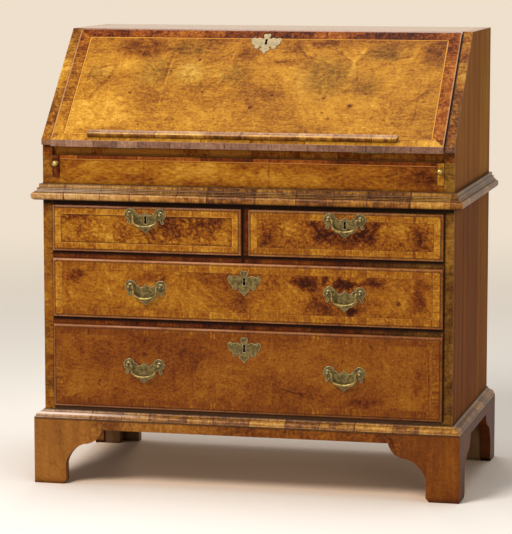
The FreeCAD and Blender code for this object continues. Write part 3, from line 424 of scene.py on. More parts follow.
def fall_material():
    x, y, z = start("fall_veneer")
    up, out = on_slope(y, z)
    wood, height = burr(x, up, out, 3.0, 1.0, 0.8, 0.05)
    lengthwise = noise(vector(x * 34.0, up * 150.0, 4.0), 1.0, 4.0, 0.62)
    ripple = wave((up + lengthwise * 0.01) * 900.0) * fade(up, 0.05, 0.16)
    patches = clouds(x, up, (
        (-278, 275, 70, 36, -20), (-176, 277, 50, 26, -14), (-381, 289, 30, 22, 0), (-243, 209, 40, 50, 8),
        (-157, 206, 44, 46, 27), (-56, 202, 34, 34, -8), (-101, 207, 24, 40, 10), (-350, 86, 100, 80, 22),
        (-368, 199, 36, 30, 4), (-302, 241, 34, 34, 8), (-74, 274, 40, 30, 8), (-33, 262, 34, 26, -20),
        (-67, 74, 120, 50, 5), (53, 240, 44, 12, -14), (59, 284, 40, 26, -16), (149, 197, 60, 70, -3),
        (209, 263, 30, 28, 8), (209, 213, 18, 34, 8), (274, 267, 42, 28, -12), (386, 275, 34, 46, -14),
        (330, 144, 70, 100, 4), (-301, 100, 50, 60, 8), (140, 293, 34, 18, -12), (245, 169, 36, 44, -10),
        (78, 87, 110, 60, 5), (-10, 150, 60, 50, -10), (250, 130, 60, 40, 8), (280, 50, 80, 30, 10),
        (-245, 110, 50, 60, -5),
    ), 31.0)
    lines = strokes(x, up, (
        (-328, 225, -384, 211, 5, -16), (-384, 211, -390, 176, 5, -14), (-330, 222, -345, 176, 4, -16),
        (-345, 176, -374, 128, 5, -14), (-372, 205, -350, 190, 3, -12), (-380, 190, -352, 170, 3, -12),
        (-384, 170, -362, 150, 3, -10), (-396, 160, -380, 120, 3, -10), (-201, 256, -209, 180, 3, 18),
        (-209, 180, -210, 100, 3, 10), (-206, 250, -215, 170, 5, -10), (-105, 250, -56, 296, 7, 14),
        (-90, 246, -40, 286, 3, 12), (-98, 256, -50, 300, 3, -14), (76, 288, 96, 259, 4, -18),
        (96, 259, 130, 247, 4, -14), (208, 243, 234, 290, 5, 14), (216, 240, 246, 284, 3, -12),
        (208, 243, 172, 280, 5, 10), (200, 243, 166, 272, 3, -12), (208, 240, 200, 196, 5, 12),
        (214, 238, 226, 170, 4, -10), (295, 242, 334, 256, 4, 18), (334, 256, 348, 290, 5, 16),
        (306, 256, 316, 284, 5, 12), (300, 250, 332, 264, 3, -14), (260, 240, 292, 236, 3, -14),
        (-20, 236, 70, 240, 4, -16), (-130, 190, -30, 186, 2, -12), (-120, 166, -20, 170, 2, -10),
        (-110, 176, -40, 178, 2, -10), (-170, 215, -150, 170, 3, -12), (360, 30, 362, 220, 2, -10),
        (230, 200, 222, 130, 2, -12),
    ))
    knots = clouds(x, up, (
        (-142, 244, 4, 5, -40), (-283, 143, 4.6, 4, -40), (-320, 85, 4, 4, -30), (-4, 104, 5.5, 5, -50),
        (-118, 146, 4, 4, -30), (-245, 50, 4, 4, -25), (217, 113, 8, 6, -50), (154, 135, 5, 5, -45),
        (173, 76, 4, 7, -35), (159, 91, 4, 5, -30), (245, 149, 7, 4, -40), (39, 140, 5, 4, -40),
    ), 77.0, 0.012)
    tone = 0.46 + (wood - 0.5) * 0.72 + (lengthwise - 0.5) * 0.5 + ripple * 0.02 + patches + lines + knots
    grey = clouds(x, up, (
        (-243, 209, 50, 56, 60), (-157, 206, 52, 50, 55), (-56, 202, 45, 38, 55), (-368, 199, 44, 36, 40),
        (149, 197, 80, 75, 60), (274, 267, 48, 30, 60), (-176, 277, 50, 26, 50), (245, 169, 40, 50, 40),
    ), 32.0)
    red = clouds(x, up, (
        (-278, 275, 80, 40, 70), (386, 275, 40, 60, 50), (-33, 262, 50, 30, 50), (53, 240, 60, 14, 50),
        (0, 305, 450, 16, 50), (140, 293, 40, 18, 40),
    ), 33.0)
    field = mix(least(grey, 1.0), ramp(tone, golden), ramp(tone, olive))
    field = mix(least(red, 1.0), field, ramp(tone, ruddy))
    to_side = fall_half - size(x)
    to_top = fall_top - up
    on_side = above(least(to_top, up), to_side)
    side_tone, side_height = cross_band(up, x, out, 5.0, 0.085)
    end_tone, end_height = cross_band(x, up, out, 11.0, 0.12)
    upper = rise(up, 0.17, 0.30)
    left = rise(x, 0.1, -0.3)
    band_burr = (wood - 0.5) * 0.5
    side_band = mix(
        left * (1.0 - upper * 0.7),
        ramp(side_tone + band_burr * 1.8 + 0.06 - left * 0.06, ruddy),
        ramp(side_tone + band_burr - 0.26, golden),
    )
    pale_block = line(x, 0.14, 0.07) * 0.3 + line(x, -0.10, 0.05) * 0.12
    # The top end band is painted darker towards the right, as shade
    end_band = mix(
        above(up, 0.2),
        ramp(end_tone + 0.02, golden),
        ramp(end_tone + band_burr * 1.8 - 0.08 + pale_block - rise(x, -0.3, 0.2) * 0.06, ruddy),
    )
    band = mix(on_side, end_band, side_band)
    band_edge = least(to_side - side_border, least(to_top - top_border, up - bottom_border))
    inside = past(band_edge)
    face = mix(inside, band, field)
    string = 0.0015 + rise(x, 0.3, 0.38) * on_side * 0.0011
    on_string = fade(size(band_edge) / string, 0.35, 0.65)
    face = mix(on_string, face, mix(left, colour(182, 122, 44), colour(196, 136, 52)))
    face = inlay(face, band_edge, -0.0020, 0.0012, 0.6, dark_line)
    face = inlay(face, band_edge, 0.0022, 0.0010, 0.25, dark_line)
    # Painted highlight along the side edges of the fall
    edge_highlight = fade(to_side, 0.0012, 0.0030) * rise(out, 0.012, 0.018)
    face = mix(edge_highlight * 0.6, face, colour(178, 134, 100))
    writing = plain_figure(x, up, out, 8.0)[0]
    rim = least(to_side, least(to_top, up)) - writing_border
    writing_band = ramp(mix(on_side, end_tone, side_tone), honey)
    inner_face = mix(past(rim), writing_band, ramp(writing + 0.06, honey))
    inner_face = inlay(inner_face, rim, 0.0, 0.002, 1.0, dark_line)
    skin = mix(rise(out, 0.0005, 0.004), inner_face, face)
    skin = painted_shade_and_wear(skin, 0.8, 0.3, colour(214, 160, 100))
    bumps = mix(inside, mix(on_side, end_height, side_height), height)
    return surface(skin, 0.42, bumps, 0.0003, 0.0008, gloss=0.05)


# Drawer fronts: feather banding inside the moulded lip, then a field of burr
lip_width = 0.0054
feather_spine = 0.0125
dovetail_pitch = 0.031


def drawer_material(name, node, look):
    low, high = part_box(node)
    x, y, z = start(name)
    seed = look["seed"]
    stops = look["stops"]
    to_side = least(x - low.x, high.x - x)
    to_end = least(z - low.z, high.z - z)
    near = least(to_side, to_end)
    on_side = above(to_end, to_side)
    u = size(x - (low.x + high.x) / 2) if look["matched"] else x
    wood, height = burr(u, z, y, seed, look["spread"], 1.0, look["net"])
    upright = noise(vector(x * 130.0, z * 9.0, seed), 1.0, 3.0, 0.6)
    patches = clouds(x, z, look["patches"], seed + 40.0, look["ragged"])
    patches = patches + strokes(x, z, look["strokes"]) if look["strokes"] else patches
    tone = 0.5 + (wood - 0.5) * look["contrast"] + look["lift"] + patches + (upright - 0.5) * look["upright"]
    gold = rise(patches, 0.02, 0.16)
    red = rise(patches * -1.0, 0.04, 0.2)
    field = mix(gold * 0.3, ramp(tone, stops), ramp(tone, golden))
    field = mix(red * 0.7, field, ramp(tone, ruddy))
    run = mix(on_side, x, z)
    slant = wave((run + size(near - feather_spine)) * 1150.0 + noise(vector(x, z, seed), 40.0) * 5.0)
    band_tone, band_height = cross_band(run, near, y, seed + 3.0, 0.12, 0.12, 0.25)
    band_shade = band_tone * 0.7 + slant * 0.03 + (0.15 + look["band"])
    band_shade = band_shade + patches * 0.45 + on_side * look["side_band"]
    band_gold = rise(band_shade, 0.45, 0.7)
    feather = mix(band_gold * 0.7, ramp(band_shade, stops), ramp(band_shade, golden))
    lip_tone = cross_band(run, near, y, seed + 6.0, 0.09, 0.2)[0]
    lip = ramp(lip_tone * 0.9, stops)
    # Painted highlight on the outer roll of the lip, strongest at the left and weaker on the sides
    rosy = rise(noise(vector(x, z, seed + 1.0), 9.0, 3.0), 0.38, 0.62) * 0.35 + 0.3
    left = 1.0 - rise(x, -0.35, 0.35) * 0.6
    outer = fade(near, 0.0022, 0.0040)
    rosy = least(rosy * left * look["rosy"] * (1.0 - on_side * 0.5), 1.0) * outer
    lip = mix(rosy, lip, colour(188, 136, 104))
    field_edge = near - look["band_width"]
    inside = past(field_edge)
    face = mix(inside, feather, field)
    face = inlay(face, field_edge, 0.0, 0.0016, look["inner_line"], dark_line)
    face = mix(fade(field_edge, 0.0, 0.006) * inside * look["inner_line"] * 0.35, face, dark_line)
    face = inlay(face, field_edge, -0.0018, 0.001, look["inner_line"] * 0.4, pale_line)
    face = inlay(face, near, feather_spine, 0.0008, 0.2, dark_line)
    mitre = line(to_end - to_side, 0.0, 0.0012) * (1.0 - inside)
    face = mix(mitre * 0.5, face, dark_line)
    face = mix(past(near - lip_width), lip, face)
    face = inlay(face, near, 0.0060, 0.0014, 0.8, dark_line)
    back_wood = plain_figure(x, z, y, seed + 20.0)[0]
    behind = ramp(back_wood, oak)
    dove = size(broken_part((z - low.z) / dovetail_pitch) - 0.5)
    flare = 0.27 - (y - front) * 5.0
    tail = rise(dove - flare, -0.01, 0.01)
    end_grain = mix(tail, ramp(back_wood * 0.7, brown), behind)
    at_end = fade(to_side, 0.0046, 0.0052) * rise(y, front + 0.004, front + 0.0044)
    face = mix(rise(y, front + 0.0002, front + 0.0008), face, behind)
    face = mix(at_end, face, end_grain)
    skin = painted_shade_and_wear(face, 0.85, 0.25, colour(206, 150, 112), 0.010)
    bumps = mix(inside, band_height, height)
    return surface(skin, 0.38, bumps, 0.0003, 0.0007, gloss=0.08)


def frieze_material():
    x, y, z = start("frieze_veneer")
    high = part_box("frieze_front")[1]
    wood, height = burr(x * 0.6, z * 1.3, y, 14.0, 0.9, 0.9, 0.1)
    patches = clouds(x, z, (
        (-360, 700, 80, 30, 0), (120, 690, 120, 20, 6), (360, 700, 80, 30, -10), (-120, 700, 100, 30, 6),
        (390, 715, 30, 30, -14), (220, 720, 40, 10, -10), (-250, 680, 60, 12, -8), (20, 715, 50, 12, -8),
    ), 15.0)
    # Painted shade: the frieze darker towards the right
    right = rise(x, -0.2, 0.5)
    shade = (wood - 0.5) * 0.8 + 0.53 + patches - right * 0.08
    field = mix(rise(patches, 0.0, 0.1) * 0.5, ramp(shade, warm), ramp(shade, golden))
    band_tone, band_height = cross_band(x, z, y, 18.0, 0.13)
    band = ramp(band_tone * 0.9 - 0.02, ruddy)
    border = high.z - 0.0085 - z
    face = mix(past(border), band, field)
    face = inlay(face, border, 0.0, 0.0018, 0.6, colour(176, 112, 48))
    face = inlay(face, border, 0.0018, 0.0012, 0.6, dark_line)
    crack = line(broken_part(x / 0.28 + 0.31), 0.5, 0.005)
    face = mix(crack * 0.6, face, dark_line)
    skin = painted_shade_and_wear(face, 0.85, 0.15, reach=0.02)
    return surface(skin, 0.4, height * 0.6 + band_height * 0.2, 0.0003, 0.0007)


def strip_material(name, stops, seed, block, lift=0.0, gold_share=0.6):
    """Cross-grained strips on the front edges of the case and on its rails."""
    x, y, z = start(name)
    nose_low = bed + 0.0004
    nose_high = bed + 0.0130
    bed_low = bed - 0.0194
    nose = past(z - nose_low) * past(nose_high - z)
    along_slope = rise(z, bed + 0.012, bed + 0.016)
    up = on_slope(y, z)[0]
    run = mix(along_slope, z, up + bed)
    on_case_edge = rise(size(x), side_inner - 0.001, side_inner)
    run = mix(on_case_edge, x, run)
    across = mix(on_case_edge, z, x)
    tone, height = cross_band(run, across, y, seed, block, 0.2, 0.3)
    wood = burr(x, z, y, seed + 2.0, 0.6, 1.2, 0.12)[0]
    # Painted shade: the strips darker towards the right
    right = rise(x, -0.3, 0.5)
    shade = 0.5 + (tone - 0.5) * 0.7 + (wood - 0.5) * (along_slope * 0.45 + 0.35) + lift - right * 0.06
    # On the left slope strip: a painted highlight partway up, painted shade lower down
    slope_side = along_slope * above(0.0, x)
    shade = shade + (line(up, 0.185, 0.14) * 0.22 - line(up, 0.06, 0.13) * 0.14) * slope_side
    # Painted shade below the slope, deeper on the right, where the upper part is painted lighter instead
    high = rise(z, 0.38, 0.70)
    shade = shade - (0.10 + right * (0.06 - high * 0.24)) * (1.0 - along_slope)
    gold = rise(noise(vector(x, run, seed + 1.0), 16.0, 3.0), 0.45, 0.62)
    base = mix(gold * gold_share, ramp(shade, stops), ramp(shade - 0.02, golden))
    aged = rise(noise(vector(run, x, seed + 4.0), 11.0, 3.0), 0.40, 0.58)
    base = mix(aged * 0.35 * on_case_edge, base, ramp(shade - 0.08, olive))
    green = rise(x, 0.2, 0.4) * (1.0 - along_slope)
    base = mix(green * 0.75, base, ramp(shade - 0.06, olive))
    bed_edge = past(z - bed_low) * past(nose_low - z)
    base = mix(bed_edge * 0.8, base, ramp(tone + (wood - 0.5) * 0.5 - 0.02, ruddy))
    # The nose blocks painted darker towards the right, as shade
    base = mix(nose, base, ramp(tone - right * 0.14 + 0.02, pinkish))
    # Painted shadow below the moulding and each drawer, beside the drawers, and along the gap of the fall
    waist_low, waist_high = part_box("waist_moulding")
    short_low, short_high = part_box("short_drawer_left_front")
    upper_low, upper_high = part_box("upper_drawer_front")
    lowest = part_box("lower_drawer_front")[0].z
    shadows = [(waist_low.z, 0.014, waist_high.x)]
    shadows += [(bottom, 0.012, upper_high.x) for bottom in (short_low.z, upper_low.z, lowest)]
    painted_shadow = 0.0
    for bottom, reach, half in shadows:
        under = bottom - z
        painted_shadow = painted_shadow + above(under, 0.0) * fade(under, reach * 0.35, reach) * above(half, size(x))
    beside = x - short_high.x
    painted_shadow = painted_shadow + above(beside, 0.0) * fade(beside, 0.003, 0.010) * above(0.03, size(x))
    beyond = size(x) - upper_high.x
    along_drawers = above(z, lowest) * above(waist_low.z, z)
    edge_reach = rise(x, -0.1, 0.1) * 0.004 + 0.0025
    painted_shadow = painted_shadow + above(beyond, 0.0) * fade(beyond / edge_reach, 0.2, 1.0) * along_drawers
    gap = size(x) - side_inner
    gap_reach = above(x, 0.0) * 0.0035 + 0.0015
    painted_shadow = painted_shadow + along_slope * fade(gap / gap_reach, 0.4, 1.0)
    base = mix(least(painted_shadow, 1.0) * 0.95, base, colour(24, 7, 2))
    skin = painted_shade_and_wear(base, 0.9, 0.25, colour(186, 140, 100), 0.02)
    return surface(skin, 0.4, height, 0.0003, 0.0008)


def bed_edge_material():
    """Writing bed: pale wood inside, a dark mottled strip along its front edge, painted darker towards the
    right and under the nosing as shade.
    """
    x, y, z = start("bed_wood")
    tone, height = plain_figure(x, y + z * 1.3, z, 131.0)
    strip_tone = cross_band(x, z, y, 133.0, 0.10)[0]
    wood = burr(x, z, y, 134.0, 0.6, 1.0, 0.12)[0]
    # Painted shade: the strip darker towards the right
    strip = ramp(strip_tone + (wood - 0.5) * 0.7 + 0.52 - rise(x, -0.2, 0.3) * 0.32, ruddy)
    strip = inlay(strip, z, bed - 0.0185, 0.0016, 0.6, colour(178, 116, 52))
    # Painted shadow under the nosing
    strip = mix(rise(z, bed - 0.010, bed - 0.001) * 0.6, strip, colour(34, 12, 4))
    at_front = fade(y, front + 0.024, front + 0.025) * above(bed - 0.0004, z)
    skin = painted_shade_and_wear(mix(at_front, ramp(tone - 0.02, honey), strip), 0.7, 0.2, reach=0.01)
    return surface(skin, 0.4, height, 0.0003, 0.0008)


def nosing_material():
    x, y, z = start("nosing_blocks")
    tone, height = cross_band(x, z, y, 23.0, 0.06)
    # Painted shade: the nosing darker towards the right
    right = rise(x, -0.1, 0.5)
    skin = painted_shade_and_wear(ramp(tone - right * 0.2 + 0.02, pinkish), 0.7, 0.35, colour(190, 150, 126))
    return surface(skin, 0.4, height, 0.0004, 0.0011, gloss=0.35)


def moulding_material(name, node, seed, block, left_highlight_amount, grooves):
    """Cross-grained blocks along each run, which turn the corner at the mitre."""
    x, y, z = start(name)
    on_side = above(size(x) - half_width, front - y)
    run = mix(on_side, x, y)
    across = mix(on_side, y, x) + z
    tone, height = cross_band(run, across, 0.0, seed, block)
    # Painted shade towards the right and on the side runs; a painted highlight at the left end
    right = rise(x, -0.45, 0.1)
    left_highlight = fade(x, -0.47, -0.16) * left_highlight_amount
    shade = (tone - 0.5) * 1.5 + 0.58 - right * 0.12 + left_highlight - on_side * 0.10
    base = mix(right * 0.5, ramp(shade, honey), ramp(shade, golden))
    base = mix(least(left_highlight * 2.2, 0.85), base, ramp(shade, pinkish))
    low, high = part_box(node)
    # Dark lines: a joint line with painted shade along the bottom, painted shade at the top against the case
    # and in each groove
    shade_and_joint_lines = fade(z - low.z, 0.0016, 0.0036) * 0.8
    behind = rise(most(front - y, size(x) - half_width), 0.0070, 0.0110)
    shade_and_joint_lines = most(shade_and_joint_lines, (1.0 - behind) * rise(z, high.z - 0.003, high.z - 0.001) * 0.75)
    share = (z - low.z) / (high.z - low.z)
    for level in grooves:
        shade_and_joint_lines = most(shade_and_joint_lines, line(share, level, 0.055) * 0.55)
    # Painted highlight line along the left end
    base = mix(line(share, 0.62, 0.18) * least(left_highlight * 3.0, 0.8), base, colour(232, 206, 188))
    base = mix(shade_and_joint_lines, base, colour(44, 18, 5))
    skin = painted_shade_and_wear(base, 0.95, 0.5, colour(226, 182, 140), 0.010)
    return surface(skin, 0.34, height, 0.0005, 0.0012, gloss=0.16)


def book_rest_material():
    """Book rest: its upper edge painted light as a highlight, most at the left, dark wood, and a gold line
    below painted as a highlight.
    """
    x, y, z = start("book_rest_wood")
    up, out = on_slope(y, z)
    tone, height = cross_band(x, up, out, 103.0, 0.09, 0.4)
    share = (up - 0.010) / 0.018
    left_highlight = fade(x, -0.34, -0.10)
    dark = rise(noise(vector(x * 60.0, up * 150.0, 2.0), 1.0, 4.0, 0.7), 0.42, 0.56)
    middle = mix(dark * (0.75 - left_highlight * 0.2), ramp(tone + 0.02, golden), ramp(tone - 0.2, ruddy))
    # Painted highlight on the upper edge, stronger at the left
    base = mix(rise(share, 0.50, 0.75), middle, ramp(tone + 0.10, honey))
    # Painted highlight: a gold line along the lower edge
    base = mix(line(share, 0.16, 0.24) * 0.9, base, ramp(tone + 0.16, golden))
    base = mix(rise(share, 0.5, 0.8) * (left_highlight * 0.5 + 0.35), base, ramp(tone + 0.22, pinkish))
    base = inlay(base, share, 0.34, 0.12, 0.6, dark_line)
    end = size(x + 0.009) - 0.343
    base = mix(rise(end, -0.012, -0.010) * 0.5, base, ramp(tone - 0.1, golden))
    base = inlay(base, end, -0.0115, 0.0014, 0.7, dark_line)
    skin = painted_shade_and_wear(base, 0.95, 0.3, colour(222, 176, 132), 0.008)
    return surface(skin, 0.32, height, 0.0004, 0.0010, gloss=0.4)


def side_material():
    x, y, z = start("side_veneer")
    tone, height = plain_figure(z, y, x, 41.0, 0.35)
    stripes = noise(vector(z * 0.6, y * 38.0, 3.0), 1.0, 5.0, 0.72)
    lower = fade(z, 0.60, 0.70)
    blotch = noise(vector(y * 1.6, z, 2.0), 3.0, 3.0)
    shade = tone * 0.5 + 0.44 + (stripes - 0.5) - lower * 0.18 + (blotch - 0.5) * 0.3
    rear = rise(y, -0.05, 0.2)
    base = mix(rear * 0.4 + 0.3, ramp(shade, brown), ramp(shade, warm))
    # Painted highlight along the top edge
    base = mix(rise(z, 0.9988, 0.9994), base, colour(168, 142, 126))
    skin = painted_shade_and_wear(base, 0.8, 0.12, colour(150, 104, 62), 0.03)
    return surface(skin, 0.5, height, 0.0003, 0.0008, gloss=0.1, bend=1.12)


def board_material(name, stops, way, seed, lift=0.0, rough=0.42, coat=0.0, painted_shade=0.7, gloss=0.06):
    """Plain board with its grain along X, Y or Z."""
    x, y, z = start(name)
    ways = {"x": (x, y + z * 1.3, z), "y": (y, x + z * 1.3, z), "z": (z, x + y * 1.3, y)}
    tone, height = plain_figure(*ways[way], seed)
    # Painted shade in corners and recesses, found by ambient occlusion
    skin = painted_shade_and_wear(ramp(tone + lift, stops), painted_shade, 0.2)
    return surface(skin, rough, height, 0.0004, 0.0009, coat=coat, gloss=gloss)


def loper_material(name):
    """Loper: plain wood behind, a bright veneered end with a dark outline painted as the shade of the gap
    around it.
    """
    x, y, z = start(name)
    low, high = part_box(name)
    tone, height = plain_figure(y, x + z * 1.3, z, 127.0)
    end_tone = cross_band(x, z, y, 128.0, 0.03)[0]
    at_end = past(front + 0.0010 - y)
    to_edge = least(least(x - low.x, high.x - x), least(z - low.z, high.z - z))
    # Painted shade of the gap round the loper's end
    rim = fade(to_edge, 0.0006, 0.0016)
    right = rise(x, -0.1, 0.1)
    end = mix(right, ramp(end_tone - 0.02, ruddy), ramp(end_tone + 0.06, golden))
    end = mix(rim * 0.8, end, dark_line)
    skin = painted_shade_and_wear(mix(at_end, ramp(tone, warm), end), 0.8, 0.0)
    return surface(skin, 0.42, height, 0.0004, 0.0006)


def foot_material():
    x, y, z = start("foot_veneer")
    on_front = fade(y, front - 0.0196, front - 0.019)
    u = mix(on_front, y, x)
    wood, height = burr(u, z * 0.8, mix(on_front, x, y), 47.0, 0.6, 0.8, 0.06)
    streak = noise(vector(u * 75.0, z * 5.0, 6.0), 1.0, 4.0, 0.65)
    right = rise(x, -0.2, 0.4)
    between_feet = fade(size(x), 0.33, 0.37)
    low_edge = fade(z, 0.0, 0.014)
    # Painted shade: darker towards the right and on the side faces
    shade = 0.5 + (wood - 0.5) * (between_feet * 0.4 + 0.25) + (streak - 0.5) * 0.3 - right * 0.10
    shade = shade - (1.0 - on_front) * 0.12 - low_edge * 0.12 - 0.10
    back = rise(y, front + 0.0015, front + 0.002)
    left = fade(x, -0.4, 0.1)
    base = mix(left * 0.8 + 0.1, ramp(shade, warm), ramp(shade + 0.04, honey))
    base = mix(rise(z, 0.1430, 0.1445) * 0.6, base, colour(40, 16, 6))
    behind = ramp(plain_figure(z, x + y, 0.0, 51.0)[0] * 0.8 + 0.02, pine)
    within = fade(size(x), half_width - 0.0035, half_width - 0.003)
    face = mix(back * within, base, behind)
    skin = painted_shade_and_wear(face, 0.85, 0.45, colour(176, 122, 72), 0.012)
    return surface(skin, 0.42, height * 0.6, 0.0004, 0.0011, gloss=0.08)


def brass_material(name, bright=1.0, hollow_shade=0.5, rim=0.0022, grey=0.0):
    """Brass: painted shade in its hollows and next to other pieces, and a painted highlight along its edges.
    """
    place = vector(*start(name))
    patches = noise(place, 120.0, 4.0, 0.65)
    fine = noise(place, 620.0, 3.0, 0.6)
    dark = colour(76 * bright, 61 * bright, 32 * bright)
    light = colour(146 * bright, 125 * bright, 68 * bright)
    base = mix(rise(patches, 0.3, 0.7), dark, light)
    # Painted shade in the hollows and beside other pieces
    base = mix(fade(closeness(place.graph, 0.006), 0.2, 0.9, hollow_shade), base, colour(40, 28, 12))
    # Painted highlight along the edges
    base = mix(edge(place.graph, rim) * 0.8, base, colour(214, 200, 160))
    base = mix(grey, base, colour(128, 116, 96))
    rough = 0.38 + (patches - 0.5) * 0.2
    return surface(base, rough, fine + patches, 0.00012, 0.0006, metal=0.6, gloss=0.4)


def iron_material():
    place = vector(*start("iron_bolt"))
    patches = noise(place, 160.0, 4.0, 0.65)
    base = mix(patches, colour(84, 76, 68), colour(128, 122, 114))
    base = mix(edge(place.graph, 0.0004) * 0.6, base, colour(186, 182, 174))
    return surface(base, 0.4, patches, 0.0001, 0.0003, metal=0.9, gloss=0.5)


give(fall_material(), "fall_board")
give(nosing_material(), "fall_nosing")
give(frieze_material(), "frieze_front")
# How the veneer of each drawer differs: its figure, its banding, and its own patches and strokes
short_look = dict(
    stops=warm, spread=0.7, matched=False, contrast=0.9, lift=0.0, upright=0.06, band=0.05, side_band=0.06,
    band_width=0.0205, inner_line=0.75, ragged=0.05, strokes=(), rosy=1.0,
)
left_look = dict(short_look, seed=61.0, net=0.26, lift=0.07, patches=(
    (-254, 564, 26, 20, -7), (-166, 579, 40, 34, -10), (-392, 561, 18, 13, 8), (-331, 579, 36, 24, 7),
    (-121, 572, 40, 34, 7), (-386, 597, 50, 8, -24), (-300, 556, 24, 12, 8), (-225, 606, 70, 12, -14),
    (-55, 572, 20, 30, 10), (-422, 570, 8, 50, 12),
))
right_look = dict(short_look, seed=67.0, net=0.2, matched=True, band=0.0, inner_line=0.3, patches=(
    (105, 571, 60, 32, 0), (325, 573, 52, 32, 3), (220, 566, 72, 34, -20), (44, 568, 18, 34, -14),
    (389, 571, 28, 30, -12), (150, 594, 30, 10, -16), (298, 597, 28, 10, -16), (400, 605, 40, 20, 6),
    (220, 606, 60, 12, -12), (275, 575, 22, 28, -12), (165, 575, 18, 26, -12),
), strokes=(
    (75, 590, 150, 566, 2.6, 10), (80, 576, 146, 556, 2.6, 8), (150, 594, 190, 552, 4, -18),
    (300, 596, 262, 552, 4, -18), (290, 566, 340, 592, 2.6, 8), (180, 590, 215, 556, 2.6, -14),
    (280, 590, 235, 556, 2.6, -14),
))
upper_look = dict(
    short_look, seed=71.0, spread=1.1, net=0.08, band_width=0.022, ragged=0.06, upright=0.16, contrast=0.75,
    band=-0.02, inner_line=0.22, patches=(
    (-386, 467, 34, 18, -22), (-345, 428, 40, 34, 2), (-300, 440, 40, 30, 0), (-218, 468, 60, 18, -18),
    (-101, 432, 60, 48, 5), (-10, 425, 36, 44, -12), (73, 432, 44, 42, -3), (136, 467, 30, 20, -50),
    (177, 469, 10, 14, -36), (209, 466, 18, 18, -50), (232, 470, 18, 15, -50), (280, 471, 34, 12, -28),
    (239, 405, 14, 14, -36), (336, 436, 36, 46, 14), (384, 433, 22, 34, -24), (396, 468, 36, 14, -16),
    (-400, 415, 12, 30, -12), (-160, 400, 50, 20, -6), (170, 420, 30, 40, -12),
    (-280, 395, 80, 12, -10), (340, 427, 5, 5, -40), (-428, 430, 8, 70, 14), (260, 440, 60, 40, -5),
), strokes=(
    (-120, 470, -60, 420, 4, 10), (-140, 450, -80, 400, 4, 8), (90, 470, 130, 430, 4, 12),
    (60, 460, 100, 416, 4, 10), (345, 468, 372, 440, 3, -10), (300, 460, 345, 480, 3, 10),
    (-315, 466, -300, 420, 3, 8), (120, 482, 150, 440, 3, -12),
))
lower_look = dict(
    short_look, seed=79.0, stops=russet, spread=1.8, net=0.03, band_width=0.0215, ragged=0.08, upright=0.26,
    contrast=0.78, lift=-0.01, band=-0.12, side_band=0.04, inner_line=0.06, rosy=0.8, patches=(
    (-360, 300, 70, 50, -7), (-50, 240, 100, 60, 7), (100, 220, 100, 40, -3), (270, 210, 50, 20, -14),
    (220, 250, 50, 40, 4), (-250, 340, 60, 12, -12), (360, 270, 50, 60, -5), (60, 300, 50, 30, 6),
    (-380, 215, 30, 30, 5), (-288, 217, 6, 6, -30), (-328, 236, 5, 5, -25), (-225, 300, 6, 6, -25),
    (215, 293, 6, 3, -30), (-383, 195, 5, 4, -30), (-300, 300, 40, 40, -5), (-20, 345, 300, 8, 6),
    (380, 260, 12, 60, -10), (-100, 205, 50, 30, 5),
), strokes=(
    (80, 232, 140, 216, 2.2, -16), (100, 226, 150, 222, 2, -8), (407, 340, 407, 190, 1.4, -20),
    (401, 330, 401, 200, 1.2, -10),
))
drawers = ("short_drawer_left", "short_drawer_right", "upper_drawer", "lower_drawer")
for drawer, look in zip(drawers, (left_look, right_look, upper_look, lower_look)):
    veneer = drawer.replace("_drawer", "") + "_veneer"
    give(drawer_material(veneer, drawer + "_front", look), drawer + "_front")
give(strip_material("edge_strips", warm, 83.0, 0.14), "edge_facings")
# The rails get a darker lift: painted shade for their recess behind the drawer lips
give(strip_material("rail_strips", ruddy, 89.0, 0.11, -0.06, 0.15), "drawer_rails")
waist_grooves = (0.06, 0.50, 0.585, 0.76)
base_grooves = (0.24, 0.72)
give(moulding_material("waist_blocks", "waist_moulding", 97.0, 0.085, 0.12, waist_grooves), "waist_moulding")
give(moulding_material("base_blocks", "base_moulding", 101.0, 0.075, 0.32, base_grooves), "base_moulding")
give(book_rest_material(), "book_rest")
give(side_material(), "side_left", "side_right")
feet = ["foot_" + corner for corner in ("front_left", "front_right", "rear_left", "rear_right")]
give(foot_material(), "base_aprons", *feet)
give(board_material("top_board_wood", brown, "x", 107.0, 0.06, 0.24, 0.7, 0.6, 0.45), "top_board")
# The bottom board is painted dark: painted shade for the gap under the lowest drawer, where its front edge
# shows
give(board_material("bottom_board_wood", pine, "x", 109.0, -0.45, 0.6), "bottom_board")
give(board_material("back_wood", pine, "z", 113.0, 0.0, 0.7), "back_boards")
for loper in ("loper_left", "loper_right"):
    give(loper_material(loper), loper)
give(bed_edge_material(), "writing_bed")
give(board_material("well_slide_wood", honey, "x", 131.0, -0.02, 0.4), "well_slide")
give(board_material("lining_wood", oak, "y", 137.0, 0.0, 0.6), *[
    "well_floor", "runners_and_dust_boards", "loper_guides", *[drawer + "_box" for drawer in drawers],
])
give(board_material("gallery_wood", honey, "y", 139.0, -0.05, 0.42, 0.15), "pigeonhole_case")
small_drawers = ["small_drawer_" + place for place in ("left_1", "left_2", "right_1", "right_2")]
small_drawer_wood = board_material("small_drawer_wood", honey, "x", 149.0, 0.0, 0.38, 0.25)
give(small_drawer_wood, "pigeonhole_valances", *small_drawers)
drawer_brass = brass_material("drawer_brass", 0.86, 0.85)
fall_brass = brass_material("fall_brass", 1.45, 0.4)
give(drawer_brass, *[drawer + "_brasses" for drawer in drawers])
give(brass_material("escutcheon_brass", 1.15, 0.8, 0.0016, 0.6), "fall_escutcheon")
give(fall_brass, "loper_knob_left", "loper_knob_right")
give(drawer_brass, "fall_hinges_bed_leaves", "fall_hinges_fall_leaves", "fall_lock")
give(iron_material(), "fall_lock_bolt", *[drawer + "_bolt" for drawer in drawers])


